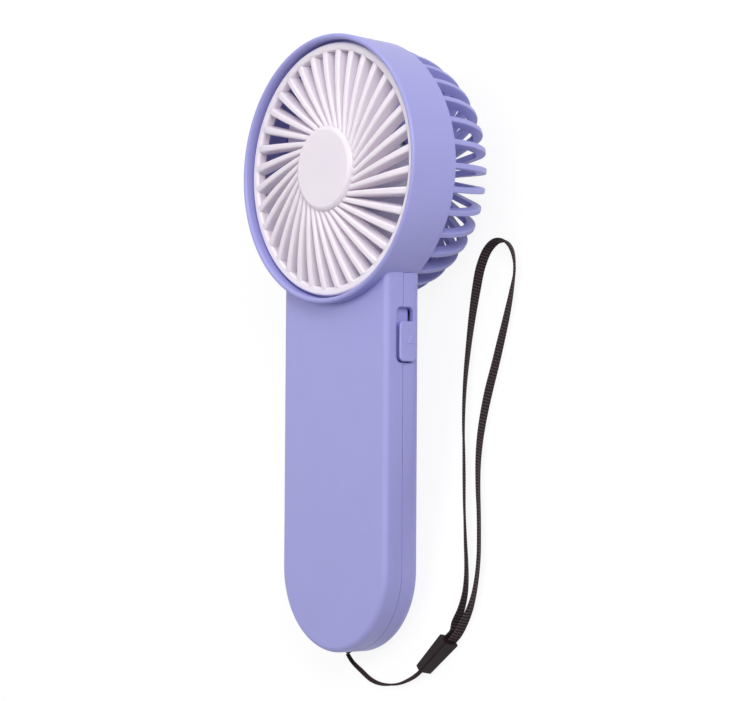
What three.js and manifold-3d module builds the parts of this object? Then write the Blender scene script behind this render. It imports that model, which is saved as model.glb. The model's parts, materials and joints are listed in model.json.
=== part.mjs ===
// A slim rechargeable hand fan with a wrist strap, lying on its back.
// Lengths are in millimetres and +Z is up. The fan's own frame, inside the tilted group, has its origin
// on the head's axis at the face of the grille: x to the fan's right, y up the handle to the head and
// z out of the grille. The strap lies beside the fan on the surface that it rests on.

import * as THREE from "three";
import { mergeVertices } from "three/addons/utils/BufferGeometryUtils.js";
import Module from "manifold-3d";

const wasm = await Module();
wasm.setup();

// Driving dimensions: head
const HEAD_RADIUS = 43.1;
const HEAD_TAPER = 0.8;
const HEAD_DEPTH = 15.4;
const LIP_HEIGHT = 2.3;
const LIP_WIDTH = 1.75;
const LIP_ROUND = 1;
const LEDGE_WIDTH = 1.75;

// Driving dimensions: front grille
const GRILLE_GAP = 0.45;
const GRILLE_DEPTH = 3.2;
const GRILLE_EDGE = 0.35;
const RING_WIDTH = 2.9;
const DISC_RADIUS = 13.9;
const DISC_RISE = 3.2;
const DISC_EDGE = 1.9;
const DISC_WALL = 1.6;
const VANE_COUNT = 36;
const VANE_OUTER_WIDTH = 2.1;
const VANE_INNER_WIDTH = 1.5;
const VANE_DEPTH = 4;
const VANE_RISE = 2.2;
const VANE_CROWN_POWER = 2.5;
const VANE_PHASE = THREE.MathUtils.degToRad(5.3);
const VANE_OFFSET = 8.5;

// Driving dimensions: rear cage
const CAGE_STEP = 1.1;
const CAGE_DEPTH = 23.7;
const CAGE_CORNER = 13.2;
const RIB_COUNT = 34;
const RIB_WIDTH = 1.9;
const RIB_DEPTH = 3.3;
const RIB_PHASE = THREE.MathUtils.degToRad(-1.35);
const TROUGH_CLEAR_SHARE = 0.75;
const FLANGE_THICKNESS = 1.3;
const SPIGOT_DEPTH = 3.5;
const SPIGOT_WALL = 1.5;
const TROUGH_WIDTH = 6;
const TROUGH_WALL = 1.2;
const CUP_WALL = 1.6;
const CUP_FLOOR = 2.4;
const CUP_DEPTH = 14;

// Driving dimensions: handle
const HANDLE_WIDTH = 51.7;
const HANDLE_REACH = 153.8;
const TAIL_HEIGHT = 26.6;
const HANDLE_STEP = 1.9;
const HANDLE_THICKNESS = 15;
const FRONT_HALF = 6.9;
const FRONT_EDGE_RADIUS = 1.8;
const BACK_EDGE_RADIUS = 4;
const SHELL_WALL = 1.8;
const SEAM_LIP_WALL = 0.7;
const SEAM_LIP_HEIGHT = 0.9;

// Driving dimensions: impeller and motor
const BLADE_COUNT = 7;
const BLADE_TIP_GAP = 3.2;
const BLADE_THICKNESS = 1.3;
const BLADE_SWEEP = THREE.MathUtils.degToRad(42);
const BLADE_DEPTH = 10.5;
const BLADE_LEAN = THREE.MathUtils.degToRad(14);
const HUB_DEPTH = 12.5;
const HUB_WALL = 1.4;
const HUB_EDGE = 2.5;
const HUB_RUNNING_GAP = 0.9;
const IMPELLER_SETBACK = 2.9;
const MOTOR_RADIUS = 12;
const MOTOR_LENGTH = 20.5;
const MOTOR_CAP_LENGTH = 3;
const MOTOR_EDGE = 1;
const BUSH_RADIUS = 3;
const BUSH_HEIGHT = 1.5;
const SHAFT_RADIUS = 1;
const SHAFT_HUB_DEPTH = 7;

// Driving dimensions: switch and its slot
const SLOT_LENGTH = 17.4;
const SLOT_WIDTH = 6.9;
const SLOT_CORNER = 1.9;
const SLOT_BELOW_HEAD = 10.4;
const SIDE_OPENINGS_SHIFT = 0.9;
const SLIDER_LENGTH = 12.6;
const SLIDER_PROUD = 1.5;
const SLIDER_EDGE = 0.7;
const SLIDER_FLANGE = 1.1;
const SLIDER_OVERLAP = 1;
const SLIDER_FLANGE_WIDTH = 6.6;
const SLIDER_FLANGE_SHIFT = 0.6;
const FORK_DEPTH = 2.4;
const FORK_PRONG = 1.6;
const SWITCH_LENGTH = 9.5;
const SWITCH_DEPTH = 4;
const SWITCH_HEIGHT = 3.5;
const LEVER_LENGTH = 2;
const LEVER_HEIGHT = 1.6;

// Driving dimensions: board, socket and cell
const BOARD_THICKNESS = 1;
const BOARD_LENGTH = 19.8;
const BOARD_BELOW_HEAD = 7.1;
const BOARD_SIDE_GAP = 0.9;
const SOCKET_WIDTH = 8.9;
const SOCKET_HEIGHT = 3.2;
const SOCKET_LENGTH = 7.4;
const SOCKET_WALL = 0.35;
const SOCKET_TONGUE = 0.7;
const SOCKET_TONGUE_WIDTH = 5;
const CHIP_SIZE = 4.9;
const CHIP_HEIGHT = 1.5;
const COIL_SIZE = 6;
const COIL_HEIGHT = 2.8;
const CELL_WIDTH = 34;
const CELL_THICKNESS = 8.2;
const CELL_EDGE = 1.6;
const CELL_CORNER = 3;
const CELL_BELOW_BOARD = 4;
const CELL_TAIL_ROOM = 29.8;
const PAD_THICKNESS = 0.9;
const PAD_SHARE = 0.8;
const FENCE_HEIGHT = 5;
const FENCE_WALL = 1.2;
const FENCE_SHARE = 0.7;

// Driving dimensions: screws, bosses and leads
const SCREW_RADIUS = 0.95;
const SCREW_HEAD_RADIUS = 1.9;
const SCREW_HEAD_HEIGHT = 1.2;
const SCREW_CROWN_SHARE = 0.7;
const SCREW_LENGTH = 6.5;
const BOARD_SCREW_LENGTH = 5;
const MOTOR_SCREW_LENGTH = 3.2;
const MOTOR_SCREW_SPACING = 12;
const BOSS_WALL = 1.7;
const SCREW_SEAT = 2;
const UPPER_BOSS_X = 9.2;
const UPPER_BOSS_BELOW_HEAD = 2.9;
const LOWER_BOSS_X = 14;
const LOWER_BOSS_FROM_TAIL = 18.4;
const BOARD_BOSS_X = 10.5;
const BOARD_BOSS_INSET = 16.3;
const LEAD_RADIUS = 0.55;
const BATTERY_LEAD_X = 4;
const MOTOR_LEAD_X = 0.9;
const LEAD_LANDING = 6;
const LEAD_SLACK = 0.8;
const TROUGH_LEAD_SHARES = [0.28, 0.44, 0.62, 0.82];

// Driving dimensions: lanyard eye and strap
const EYE_X = -5;
const EYE_DEPTH = 10.7;
const EYE_BAR = 2.4;
const EYE_HOLE = 2.2;
const EYE_CORNER = 0.7;
const CORD_RADIUS = 0.75;
const HITCH_RADIUS = 0.45;
const HITCH_KNOT = 0.85;
const WEBBING_WIDTH = 3.7;
const WEBBING_THICKNESS = 0.8;
const WEBBING_SPREAD = 1.9;
const WEBBING_RUN = 2.5;
const CRIMP_LENGTH = 14.9;
const CRIMP_WIDTH = 6.2;
const CRIMP_THICKNESS = 4.8;
const CRIMP_CORNER = 1.1;
const CRIMP_EDGE = 0.5;

// The cord from the lanyard eye to the crimp: x, y and the height of its middle over the surface, in
// the fan's place before it is centred
const CORD_ROUTE = [
  [-5.1, -150.8, 2.9],
  [-3.9, -152.4, 1.8],
  [0, -154.9, 0.9],
  [5.3, -157.4, 0.8],
  [10, -158.4, 0.8],
  [14.4, -158.4, 0.8],
  [19, -157.8, 0.8],
  [23.2, -156.4, 0.9],
  [27.2, -154.7, 1.4],
];

// The crimp's ends on the surface
const CRIMP_NEAR = [30.9, -152.9];
const CRIMP_BEARING = THREE.MathUtils.degToRad(44.7);

// The webbing from the crimp round its loop and back: x, y and its twist in degrees, 90 on edge
const WEBBING_ROUTE = [
  [42.8, -137.6, 88],
  [44.3, -132.9, 74],
  [44.9, -128.2, 64],
  [44.4, -123, 57],
  [43.2, -117.7, 53],
  [41.9, -113, 50],
  [40.5, -107.8, 46],
  [38.6, -100.5, 42],
  [36.7, -92, 39],
  [35, -84, 41],
  [33.2, -75.5, 46],
  [31.9, -67.5, 50],
  [31, -58.5, 56],
  [30.6, -49, 63],
  [30.5, -40, 74],
  [30.7, -31, 86],
  [31.3, -24, 90],
  [33.4, -18.6, 90],
  [36.6, -16, 90],
  [40.3, -15.9, 94],
  [43.6, -18, 108],
  [45.6, -21.2, 124],
  [46.8, -26, 138],
  [47, -32.5, 125],
  [46.5, -40.5, 112],
  [45.5, -48.5, 104],
  [44.4, -56.4, 101],
  [43.1, -64.4, 99],
  [42.3, -72.3, 104],
  [42.1, -80.3, 111],
  [42.8, -88.2, 118],
  [44.3, -96, 122],
  [45.9, -102.6, 125],
  [47.4, -109.6, 126],
  [48.6, -116.3, 126],
  [49.1, -122.8, 125],
  [48.9, -128.6, 120],
  [48, -133.2, 108],
  [46.1, -137.7, 94],
];

// Clearances
const SEAT = 0.3;
const BORE_GAP = 0.1;
const OVERRUN = 10;
const CORD_LIFT = 0.05;

// Facets
const HEAD_SEGMENTS = 48;
const SMALL_SEGMENTS = 24;
const SCREW_SEGMENTS = 8;
const LEAD_SIDES = 6;
const CORD_SIDES = 6;
const CORD_STEPS = 22;
const MOTOR_LEAD_STEPS = 20;
const BATTERY_LEAD_STEPS = 6;
const BLADE_STEPS = 4;
const CHORD_STEPS = 3;
const TAIL_STEPS = 16;
const EDGE_STEPS = 2;
const INNER_EDGE_STEPS = 1;
const RIB_STEPS = 4;
const VANE_STEPS = 2;
const LIP_STEPS = 3;
const MERGE_DISTANCE = 1e-4;

// Places that several pieces share
const pocketRadius = HEAD_RADIUS - LIP_WIDTH;
const grilleRadius = pocketRadius - GRILLE_GAP;
const ringInnerRadius = grilleRadius - RING_WIDTH;
const ductRadius = pocketRadius - LEDGE_WIDTH;
const ledgeZ = -GRILLE_DEPTH - SEAT;
const headRearRadius = HEAD_RADIUS - HEAD_TAPER;
const cageRadius = headRearRadius - CAGE_STEP;
const cageBackZ = -HEAD_DEPTH - CAGE_DEPTH;
const cageFlatRadius = cageRadius - CAGE_CORNER;
const spigotRadius = headRearRadius - SHELL_WALL - SEAT;
const spigotInnerRadius = spigotRadius - SPIGOT_WALL;
const bladeRadius = spigotInnerRadius - BLADE_TIP_GAP;
const flangeZ = -HEAD_DEPTH - SEAT - FLANGE_THICKNESS;
const handleFaceZ = -HANDLE_STEP;
const handleBackZ = handleFaceZ - HANDLE_THICKNESS;
const seamZ = handleFaceZ - FRONT_HALF;
const frontInsideZ = handleFaceZ - SHELL_WALL;
const backInsideZ = handleBackZ + SHELL_WALL;
const handleHalf = HANDLE_WIDTH / 2;
const insideHalf = handleHalf - SHELL_WALL;
const tailStart = -(HANDLE_REACH - TAIL_HEIGHT);
const openingZ = seamZ - SIDE_OPENINGS_SHIFT;
const boardZ = openingZ - SOCKET_HEIGHT / 2 - SEAT;
const boardBackZ = boardZ - BOARD_THICKNESS;
const motorBackZ = cageBackZ + CUP_FLOOR + SEAT;
const motorScrewSeatZ = cageBackZ + SCREW_HEAD_HEIGHT + SEAT;
const motorFaceZ = motorBackZ + MOTOR_LENGTH;
const cupInnerRadius = MOTOR_RADIUS + SEAT;
const cupOuterRadius = cupInnerRadius + CUP_WALL;
const hubFaceZ = ledgeZ - IMPELLER_SETBACK;
const hubInnerRadius = MOTOR_RADIUS + HUB_RUNNING_GAP;
const hubOuterRadius = hubInnerRadius + HUB_WALL;
const slotY = -HEAD_RADIUS - SLOT_BELOW_HEAD;
const sliderTravel = SLOT_LENGTH - SLIDER_LENGTH - SEAT * 2;
const sliderY = slotY - (SLOT_LENGTH - SLIDER_LENGTH) / 2 + SEAT;
const sliderFlangeX = insideHalf - SEAT;
const sliderForkX = sliderFlangeX - SLIDER_FLANGE - FORK_DEPTH;
const leverY = sliderY - LEVER_LENGTH;
const boardTopY = -HEAD_RADIUS - BOARD_BELOW_HEAD;
const boardY = boardTopY - BOARD_LENGTH / 2;
const boardEndY = boardTopY - BOARD_LENGTH;
const boardLeft = BOARD_SIDE_GAP - insideHalf;
const boardRight = sliderForkX - SEAT;
const cellTopY = boardEndY - CELL_BELOW_BOARD;
const cellLength = HANDLE_REACH - CELL_TAIL_ROOM + cellTopY;
const cellY = cellTopY - cellLength / 2;
const pilotRadius = SCREW_RADIUS + BORE_GAP;
const bossRadius = pilotRadius + BOSS_WALL;
const counterboreRadius = SCREW_HEAD_RADIUS + SEAT;
const screwHoleRadius = SCREW_RADIUS + SEAT;
const screwSeatZ = seamZ - SEAT - SCREW_SEAT;

// A closed mesh as a solid, with its faces turned outwards
function solid(geometry) {
  const bare = new THREE.BufferGeometry();
  const source = geometry.index ? geometry.toNonIndexed() : geometry;
  bare.setAttribute("position", source.getAttribute("position"));
  const merged = mergeVertices(bare, MERGE_DISTANCE);
  const triangles = [];
  for (let i = 0; i < merged.index.count; i += 3) {
    const [a, b, c] = [0, 1, 2].map((k) => merged.index.getX(i + k));
    if (a !== b && b !== c && c !== a) triangles.push([a, b, c]);
  }
  const make = (corners) =>
    new wasm.Manifold(
      new wasm.Mesh({
        numProp: 3,
        vertProperties: new Float32Array(merged.getAttribute("position").array),
        triVerts: new Uint32Array(corners.flat()),
      }),
    );
  const made = make(triangles);
  return made.volume() < 0 ? make(triangles.map(([a, b, c]) => [a, c, b])) : made;
}

function geometryOf(body) {
  const mesh = body.getMesh();
  const geometry = new THREE.BufferGeometry();
  geometry.setAttribute("position", new THREE.BufferAttribute(mesh.vertProperties, 3));
  geometry.setIndex(new THREE.BufferAttribute(mesh.triVerts, 1));
  geometry.computeVertexNormals();
  return geometry;
}

const join = (...bodies) => bodies.reduce((whole, body) => whole.add(body));
const cut = (body, ...tools) => tools.reduce((rest, tool) => rest.subtract(tool), body);
const point = (x, y, z) => new THREE.Vector3(x, y, z);

// A turned body about the head's axis or another axis parallel to it, from [radius, z] pairs
function turned(profile, segments, x = 0, y = 0) {
  const outline = profile.map(([radius, z]) => new THREE.Vector2(radius, z));
  const geometry = new THREE.LatheGeometry(outline, segments);
  return solid(geometry.rotateX(Math.PI / 2).translate(x, y, 0));
}

function cylinder(radius, low, high, segments, x = 0, y = 0) {
  const profile = [[0, low], [radius, low], [radius, high], [0, high]];
  return turned(profile, segments, x, y);
}

function block(x0, x1, y0, y1, z0, z1) {
  const geometry = new THREE.BoxGeometry(x1 - x0, y1 - y0, z1 - z0);
  return solid(geometry.translate((x0 + x1) / 2, (y0 + y1) / 2, (z0 + z1) / 2));
}

function roundedRectangle(width, height, corner) {
  const [x, y] = [width / 2 - corner, height / 2 - corner];
  const shape = new THREE.Shape();
  shape.absarc(x, y, corner, 0, Math.PI / 2);
  shape.absarc(-x, y, corner, Math.PI / 2, Math.PI);
  shape.absarc(-x, -y, corner, Math.PI, Math.PI * 1.5);
  shape.absarc(x, -y, corner, Math.PI * 1.5, Math.PI * 2);
  return shape;
}

// An outline drawn out along z, with the edges of both ends rounded
function roundedPlate(shape, low, high, edge, steps, edgeSteps = EDGE_STEPS) {
  return new THREE.ExtrudeGeometry(shape, {
    depth: high - low - 2 * edge,
    bevelEnabled: edge > 0,
    bevelThickness: edge,
    bevelSize: edge,
    bevelOffset: -edge,
    bevelSegments: edgeSteps,
    curveSegments: steps,
  }).translate(0, 0, low + edge);
}

// A rounded block standing on the side wall, drawn out along x
function sidePlate(length, width, corner, x0, x1, y, z, edge) {
  const plate = roundedPlate(roundedRectangle(width, length, corner), x0, x1, edge, EDGE_STEPS);
  return solid(plate.rotateY(Math.PI / 2).translate(0, y, z));
}

// A thin body between two matching grids of points, such as a blade, a vane or a rib
function skin(top, bottom) {
  const [rows, columns] = [top.length, top[0].length];
  const corners = [...top.flat(), ...bottom.flat()].flatMap((p) => [p.x, p.y, p.z]);
  const under = rows * columns;
  const faces = [];
  const quad = (a, b, c, d) => faces.push(a, b, c, a, c, d);
  for (let i = 0; i + 1 < rows; i++) {
    for (let j = 0; j + 1 < columns; j++) {
      const a = i * columns + j;
      quad(a, a + columns, a + columns + 1, a + 1);
      quad(under + a, under + a + 1, under + a + columns + 1, under + a + columns);
    }
    const [near, far] = [i * columns, i * columns + columns - 1];
    quad(near, under + near, under + near + columns, near + columns);
    quad(far, far + columns, under + far + columns, under + far);
  }
  for (let j = 0; j + 1 < columns; j++) {
    const last = (rows - 1) * columns + j;
    quad(j, j + 1, under + j + 1, under + j);
    quad(last, under + last, under + last + 1, last + 1);
  }
  const geometry = new THREE.BufferGeometry();
  geometry.setAttribute("position", new THREE.Float32BufferAttribute(corners, 3));
  geometry.setIndex(faces);
  return solid(geometry);
}

// A closed body through matching convex rings of points
function loft(rings) {
  const sides = rings[0].length;
  const faces = [];
  for (let i = 0; i + 1 < rings.length; i++) {
    for (let j = 0; j < sides; j++) {
      const [a, b] = [i * sides + j, i * sides + ((j + 1) % sides)];
      faces.push(a, b, a + sides, b, b + sides, a + sides);
    }
  }
  const last = (rings.length - 1) * sides;
  for (let j = 1; j + 1 < sides; j++) {
    faces.push(0, j + 1, j);
    faces.push(last, last + j, last + j + 1);
  }
  const corners = rings.flat().flatMap((p) => [p.x, p.y, p.z]);
  const geometry = new THREE.BufferGeometry();
  geometry.setAttribute("position", new THREE.Float32BufferAttribute(corners, 3));
  geometry.setIndex(faces);
  return solid(geometry);
}

// A round lead or cord along a smooth curve through its points
function tube(points, radius, sides, steps) {
  const shape = new THREE.Shape().absarc(0, 0, radius, 0, Math.PI * 2);
  return solid(
    new THREE.ExtrudeGeometry(shape, {
      steps,
      curveSegments: sides / 2,
      extrudePath: new THREE.CatmullRomCurve3(points, false, "centripetal"),
    }),
  );
}

const material = (color, roughness, metalness = 0) =>
  new THREE.MeshStandardMaterial({ color, roughness, metalness });
const lavender = () => material("#a3a5d8", 0.5);
const white = () => material("#efe9f1", 0.45);
const steel = () => material("#b9bcc0", 0.3, 1);
const black = () => material("#241f21", 0.7);

function piece(name, body, look) {
  const mesh = new THREE.Mesh(geometryOf(body), look);
  mesh.name = name;
  return mesh;
}

// The handle's outline seen from the front, drawn in from its own edge by an inset
function handleOutline(inset) {
  const half = handleHalf - inset;
  const top = -(cageFlatRadius - CAGE_CORNER / 2);
  const shape = new THREE.Shape();
  shape.moveTo(half, top);
  shape.lineTo(-half, top);
  shape.absellipse(0, tailStart, half, TAIL_HEIGHT - inset, Math.PI, Math.PI * 2);
  return shape;
}

function slabBetween(low, high) {
  const wide = HANDLE_REACH + OVERRUN;
  return block(-wide, wide, -wide, wide, low, high);
}

// One half of the handle as an open tray, before the head and the fittings are cut
function handleTray(faceZ, low, high, edge) {
  const forward = Math.sign(faceZ - (low + high) / 2);
  const deep = faceZ - forward * (2 * HANDLE_THICKNESS);
  const inner = faceZ - forward * SHELL_WALL;
  const innerEdge = Math.max(edge - SHELL_WALL, SHELL_WALL / 4);
  const plate = (inset, from, rounding, steps) => {
    const [bottom, top] = [Math.min(from, deep), Math.max(from, deep)];
    return solid(roundedPlate(handleOutline(inset), bottom, top, rounding, TAIL_STEPS, steps));
  };
  const tray = cut(plate(0, faceZ, edge, EDGE_STEPS), plate(SHELL_WALL, inner, innerEdge, INNER_EDGE_STEPS));
  return tray.intersect(slabBetween(low, high));
}

function seamBand(outerInset, innerInset, low, high) {
  const band = (inset, from, to) =>
    solid(roundedPlate(handleOutline(inset), from, to, 0, TAIL_STEPS));
  return cut(band(outerInset, low, high), band(innerInset, low - OVERRUN, high + OVERRUN));
}

function slotCut() {
  return sidePlate(SLOT_LENGTH, SLOT_WIDTH, SLOT_CORNER, insideHalf - SHELL_WALL, handleHalf + OVERRUN,
    slotY, openingZ, 0);
}

function socketCut() {
  return sidePlate(SOCKET_WIDTH + SEAT * 2, SOCKET_HEIGHT + SEAT * 2, SOCKET_HEIGHT / 2,
    -handleHalf - OVERRUN, -insideHalf + SHELL_WALL, boardY, openingZ, 0);
}

const shellBosses = [
  ["upper_left", -UPPER_BOSS_X, -HEAD_RADIUS - UPPER_BOSS_BELOW_HEAD],
  ["upper_right", UPPER_BOSS_X, -HEAD_RADIUS - UPPER_BOSS_BELOW_HEAD],
  ["lower_left", -LOWER_BOSS_X, LOWER_BOSS_FROM_TAIL - HANDLE_REACH],
  ["lower_right", LOWER_BOSS_X, LOWER_BOSS_FROM_TAIL - HANDLE_REACH],
];
const boardBosses = [
  ["left", -BOARD_BOSS_X, boardTopY - BOARD_BOSS_INSET],
  ["right", BOARD_BOSS_X, boardTopY - BOARD_BOSS_INSET],
];

// Bezel lip, grille pocket, ledge, duct and rear rebate, turned in one profile
function headWall() {
  const rebateRadius = spigotRadius + SEAT;
  const rebateZ = -HEAD_DEPTH + SPIGOT_DEPTH + SEAT;
  const lip = [];
  for (let i = 0; i <= LIP_STEPS; i++) {
    const turn = (i / LIP_STEPS) * Math.PI;
    const radius = pocketRadius + (LIP_WIDTH / 2) * (1 + Math.cos(turn));
    lip.push([radius, LIP_HEIGHT - LIP_ROUND * (1 - Math.sin(turn))]);
  }
  const profile = [
    [headRearRadius, -HEAD_DEPTH],
    ...lip,
    [pocketRadius, ledgeZ],
    [ductRadius, ledgeZ],
    [ductRadius, rebateZ],
    [rebateRadius, rebateZ],
    [rebateRadius, -HEAD_DEPTH],
  ];
  return turned([...profile, profile[0]], HEAD_SEGMENTS);
}

// Window through the head wall and the cage's spigot for the motor leads
function leadWindowLow() {
  return -HEAD_DEPTH + SPIGOT_DEPTH / 2;
}

function leadWindow() {
  const half = TROUGH_WIDTH / 2 - TROUGH_WALL;
  const low = leadWindowLow();
  return block(-half, half, -HEAD_RADIUS - OVERRUN, -ringInnerRadius / 2, low, low + FRONT_HALF / 2);
}

function frontShell() {
  const wallMiddle = (pocketRadius + headRearRadius) / 2;
  const rebate = seamBand(SHELL_WALL - SEAM_LIP_WALL - SEAT, SHELL_WALL * 2,
    seamZ - OVERRUN, seamZ + SEAM_LIP_HEIGHT + SEAT);
  const tray = cut(
    handleTray(handleFaceZ, seamZ + SEAT / 2, 0, FRONT_EDGE_RADIUS),
    cylinder(wallMiddle, -HEAD_DEPTH * 2, HEAD_DEPTH, HEAD_SEGMENTS),
    rebate,
  );
  const towers = shellBosses.map(([, x, y]) =>
    cylinder(bossRadius, seamZ + SEAT / 2, frontInsideZ + SHELL_WALL / 2, SCREW_SEGMENTS, x, y));
  const boardTowers = boardBosses.map(([, x, y]) =>
    cylinder(bossRadius, boardZ + SEAT, frontInsideZ + SHELL_WALL / 2, SCREW_SEGMENTS, x, y));
  const pilots = [...shellBosses, ...boardBosses].map(([, x, y]) =>
    cylinder(pilotRadius, seamZ - OVERRUN, frontInsideZ - SHELL_WALL / 2, SCREW_SEGMENTS, x, y));
  const pressRibs = [-1, 1].map((side) => {
    const x = side * CELL_WIDTH / 4;
    return block(x - FENCE_WALL / 2, x + FENCE_WALL / 2, cellTopY - cellLength, cellTopY,
      cellTopZ() + SEAT, frontInsideZ + SHELL_WALL / 2);
  });
  const shell = join(headWall(), tray, ...towers, ...boardTowers, ...pressRibs);
  return cut(shell, ...pilots, slotCut(), socketCut(), leadWindow());
}

function cellBottomZ() {
  return backInsideZ + PAD_THICKNESS + SEAT * 2;
}

function cellTopZ() {
  return cellBottomZ() + CELL_THICKNESS;
}

// Turning that lays the x axis along the tail's edge at the lanyard eye
function eyeFrame() {
  const share = EYE_X / handleHalf;
  const y = tailStart - TAIL_HEIGHT * Math.sqrt(1 - share * share);
  const slope = (TAIL_HEIGHT / handleHalf) * (share / Math.sqrt(1 - share * share));
  const angle = Math.atan(slope);
  const centre = point(EYE_X, y, handleFaceZ - EYE_DEPTH);
  const outward = point(Math.sin(angle), -Math.cos(angle), 0);
  centre.addScaledVector(outward, -SHELL_WALL / 2);
  return { centre, angle, outward };
}

function eyeCut() {
  const { centre, angle } = eyeFrame();
  const holes = [-1, 1].map((side) => {
    const shape = roundedRectangle(EYE_HOLE, EYE_HOLE, EYE_CORNER);
    const hole = roundedPlate(shape, -SHELL_WALL * 2, SHELL_WALL * 2, 0, EDGE_STEPS);
    hole.rotateX(Math.PI / 2).translate(side * (EYE_BAR + EYE_HOLE) / 2, 0, 0);
    return solid(hole.rotateZ(angle).translate(centre.x, centre.y, centre.z));
  });
  return join(...holes);
}

function rearShell() {
  const wallGap = (HEAD_RADIUS + headRearRadius) / 2 + SEAT;
  const tray = handleTray(handleBackZ, handleBackZ, seamZ - SEAT / 2, BACK_EDGE_RADIUS);
  const lip = seamBand(SHELL_WALL - SEAM_LIP_WALL, SHELL_WALL, seamZ - SHELL_WALL, seamZ + SEAM_LIP_HEIGHT);
  const towerRadius = counterboreRadius + FENCE_WALL;
  const towerTop = seamZ - SEAT / 2 - SEAT;
  const towers = shellBosses.map(([, x, y]) =>
    cylinder(towerRadius, handleBackZ + SHELL_WALL / 2, towerTop, SCREW_SEGMENTS, x, y));
  const bores = shellBosses.flatMap(([, x, y]) => [
    cylinder(counterboreRadius, handleBackZ - OVERRUN, screwSeatZ, SCREW_SEGMENTS, x, y),
    cylinder(screwHoleRadius, handleBackZ - OVERRUN, seamZ + OVERRUN, SCREW_SEGMENTS, x, y),
  ]);
  const fenceHalf = (cellLength * FENCE_SHARE) / 2;
  const fences = [-1, 1].map((side) => {
    const x = side * (CELL_WIDTH / 2 + SEAT + FENCE_WALL / 2);
    return block(x - FENCE_WALL / 2, x + FENCE_WALL / 2, cellY - fenceHalf, cellY + fenceHalf,
      handleBackZ + SHELL_WALL / 2, backInsideZ + FENCE_HEIGHT);
  });
  const endRing = [
    [wallGap - SEAT, handleBackZ],
    [wallGap + SHELL_WALL, handleBackZ],
    [wallGap + SHELL_WALL, seamZ - SEAT / 2],
    [wallGap - SEAT, seamZ - SEAT / 2],
  ];
  const whole = roundedPlate(handleOutline(0), handleBackZ, 0, BACK_EDGE_RADIUS, TAIL_STEPS);
  const endWall = turned([...endRing, endRing[0]], HEAD_SEGMENTS).intersect(solid(whole));
  const notch = TROUGH_WIDTH / 2 - TROUGH_WALL;
  const leadNotch = block(-notch, notch, -HEAD_RADIUS - OVERRUN, 0, leadWindowLow(), 0);
  const shell = join(tray, lip, endWall, ...towers, ...fences);
  return cut(shell, ...bores, slotCut(), socketCut(), eyeCut(), leadNotch,
    cylinder(wallGap, -HEAD_DEPTH * 4, HEAD_DEPTH, HEAD_SEGMENTS));
}

// Point of the cage's outside at a share of the way from the flange to the flat back
function cagePoint(share, depth) {
  const turn = (share * Math.PI) / 2;
  const radius = cageFlatRadius + CAGE_CORNER * Math.cos(turn);
  const z = -HEAD_DEPTH - CAGE_DEPTH * Math.sin(turn);
  const normal = new THREE.Vector2(Math.cos(turn) / CAGE_CORNER, -Math.sin(turn) / CAGE_DEPTH);
  normal.normalize();
  return [radius - normal.x * depth, z - normal.y * depth];
}

// One rib or one wall of the lead trough, bent in the plane that holds the head's axis
function cageRib(angle, width, depth, offset = 0) {
  const start = Math.asin((HEAD_DEPTH + flangeZ + FLANGE_THICKNESS / 2) / -CAGE_DEPTH) / (Math.PI / 2);
  const stations = [];
  for (let i = 0; i <= RIB_STEPS; i++) {
    const share = start + ((1 - start) * i) / RIB_STEPS;
    stations.push([cagePoint(share, 0), cagePoint(share, depth)]);
  }
  const hubEnd = cupInnerRadius + CUP_WALL / 2;
  stations.push([[hubEnd, cageBackZ], [hubEnd, cageBackZ + depth]]);
  const side = (half) =>
    stations.map((pair) =>
      pair.map(([radius, z]) => point(radius, half + offset, z).applyAxisAngle(point(0, 0, 1), angle)));
  return skin(side(width / 2), side(-width / 2));
}

// Channel at the bottom of the cage that carries the motor leads to the handle
function leadTrough() {
  const down = -Math.PI / 2;
  const side = (TROUGH_WIDTH - TROUGH_WALL) / 2;
  return join(
    cageRib(down, TROUGH_WALL, RIB_DEPTH, -side),
    cageRib(down, TROUGH_WALL, RIB_DEPTH, side),
    cageRib(down, TROUGH_WIDTH, TROUGH_WALL),
  );
}

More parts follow.
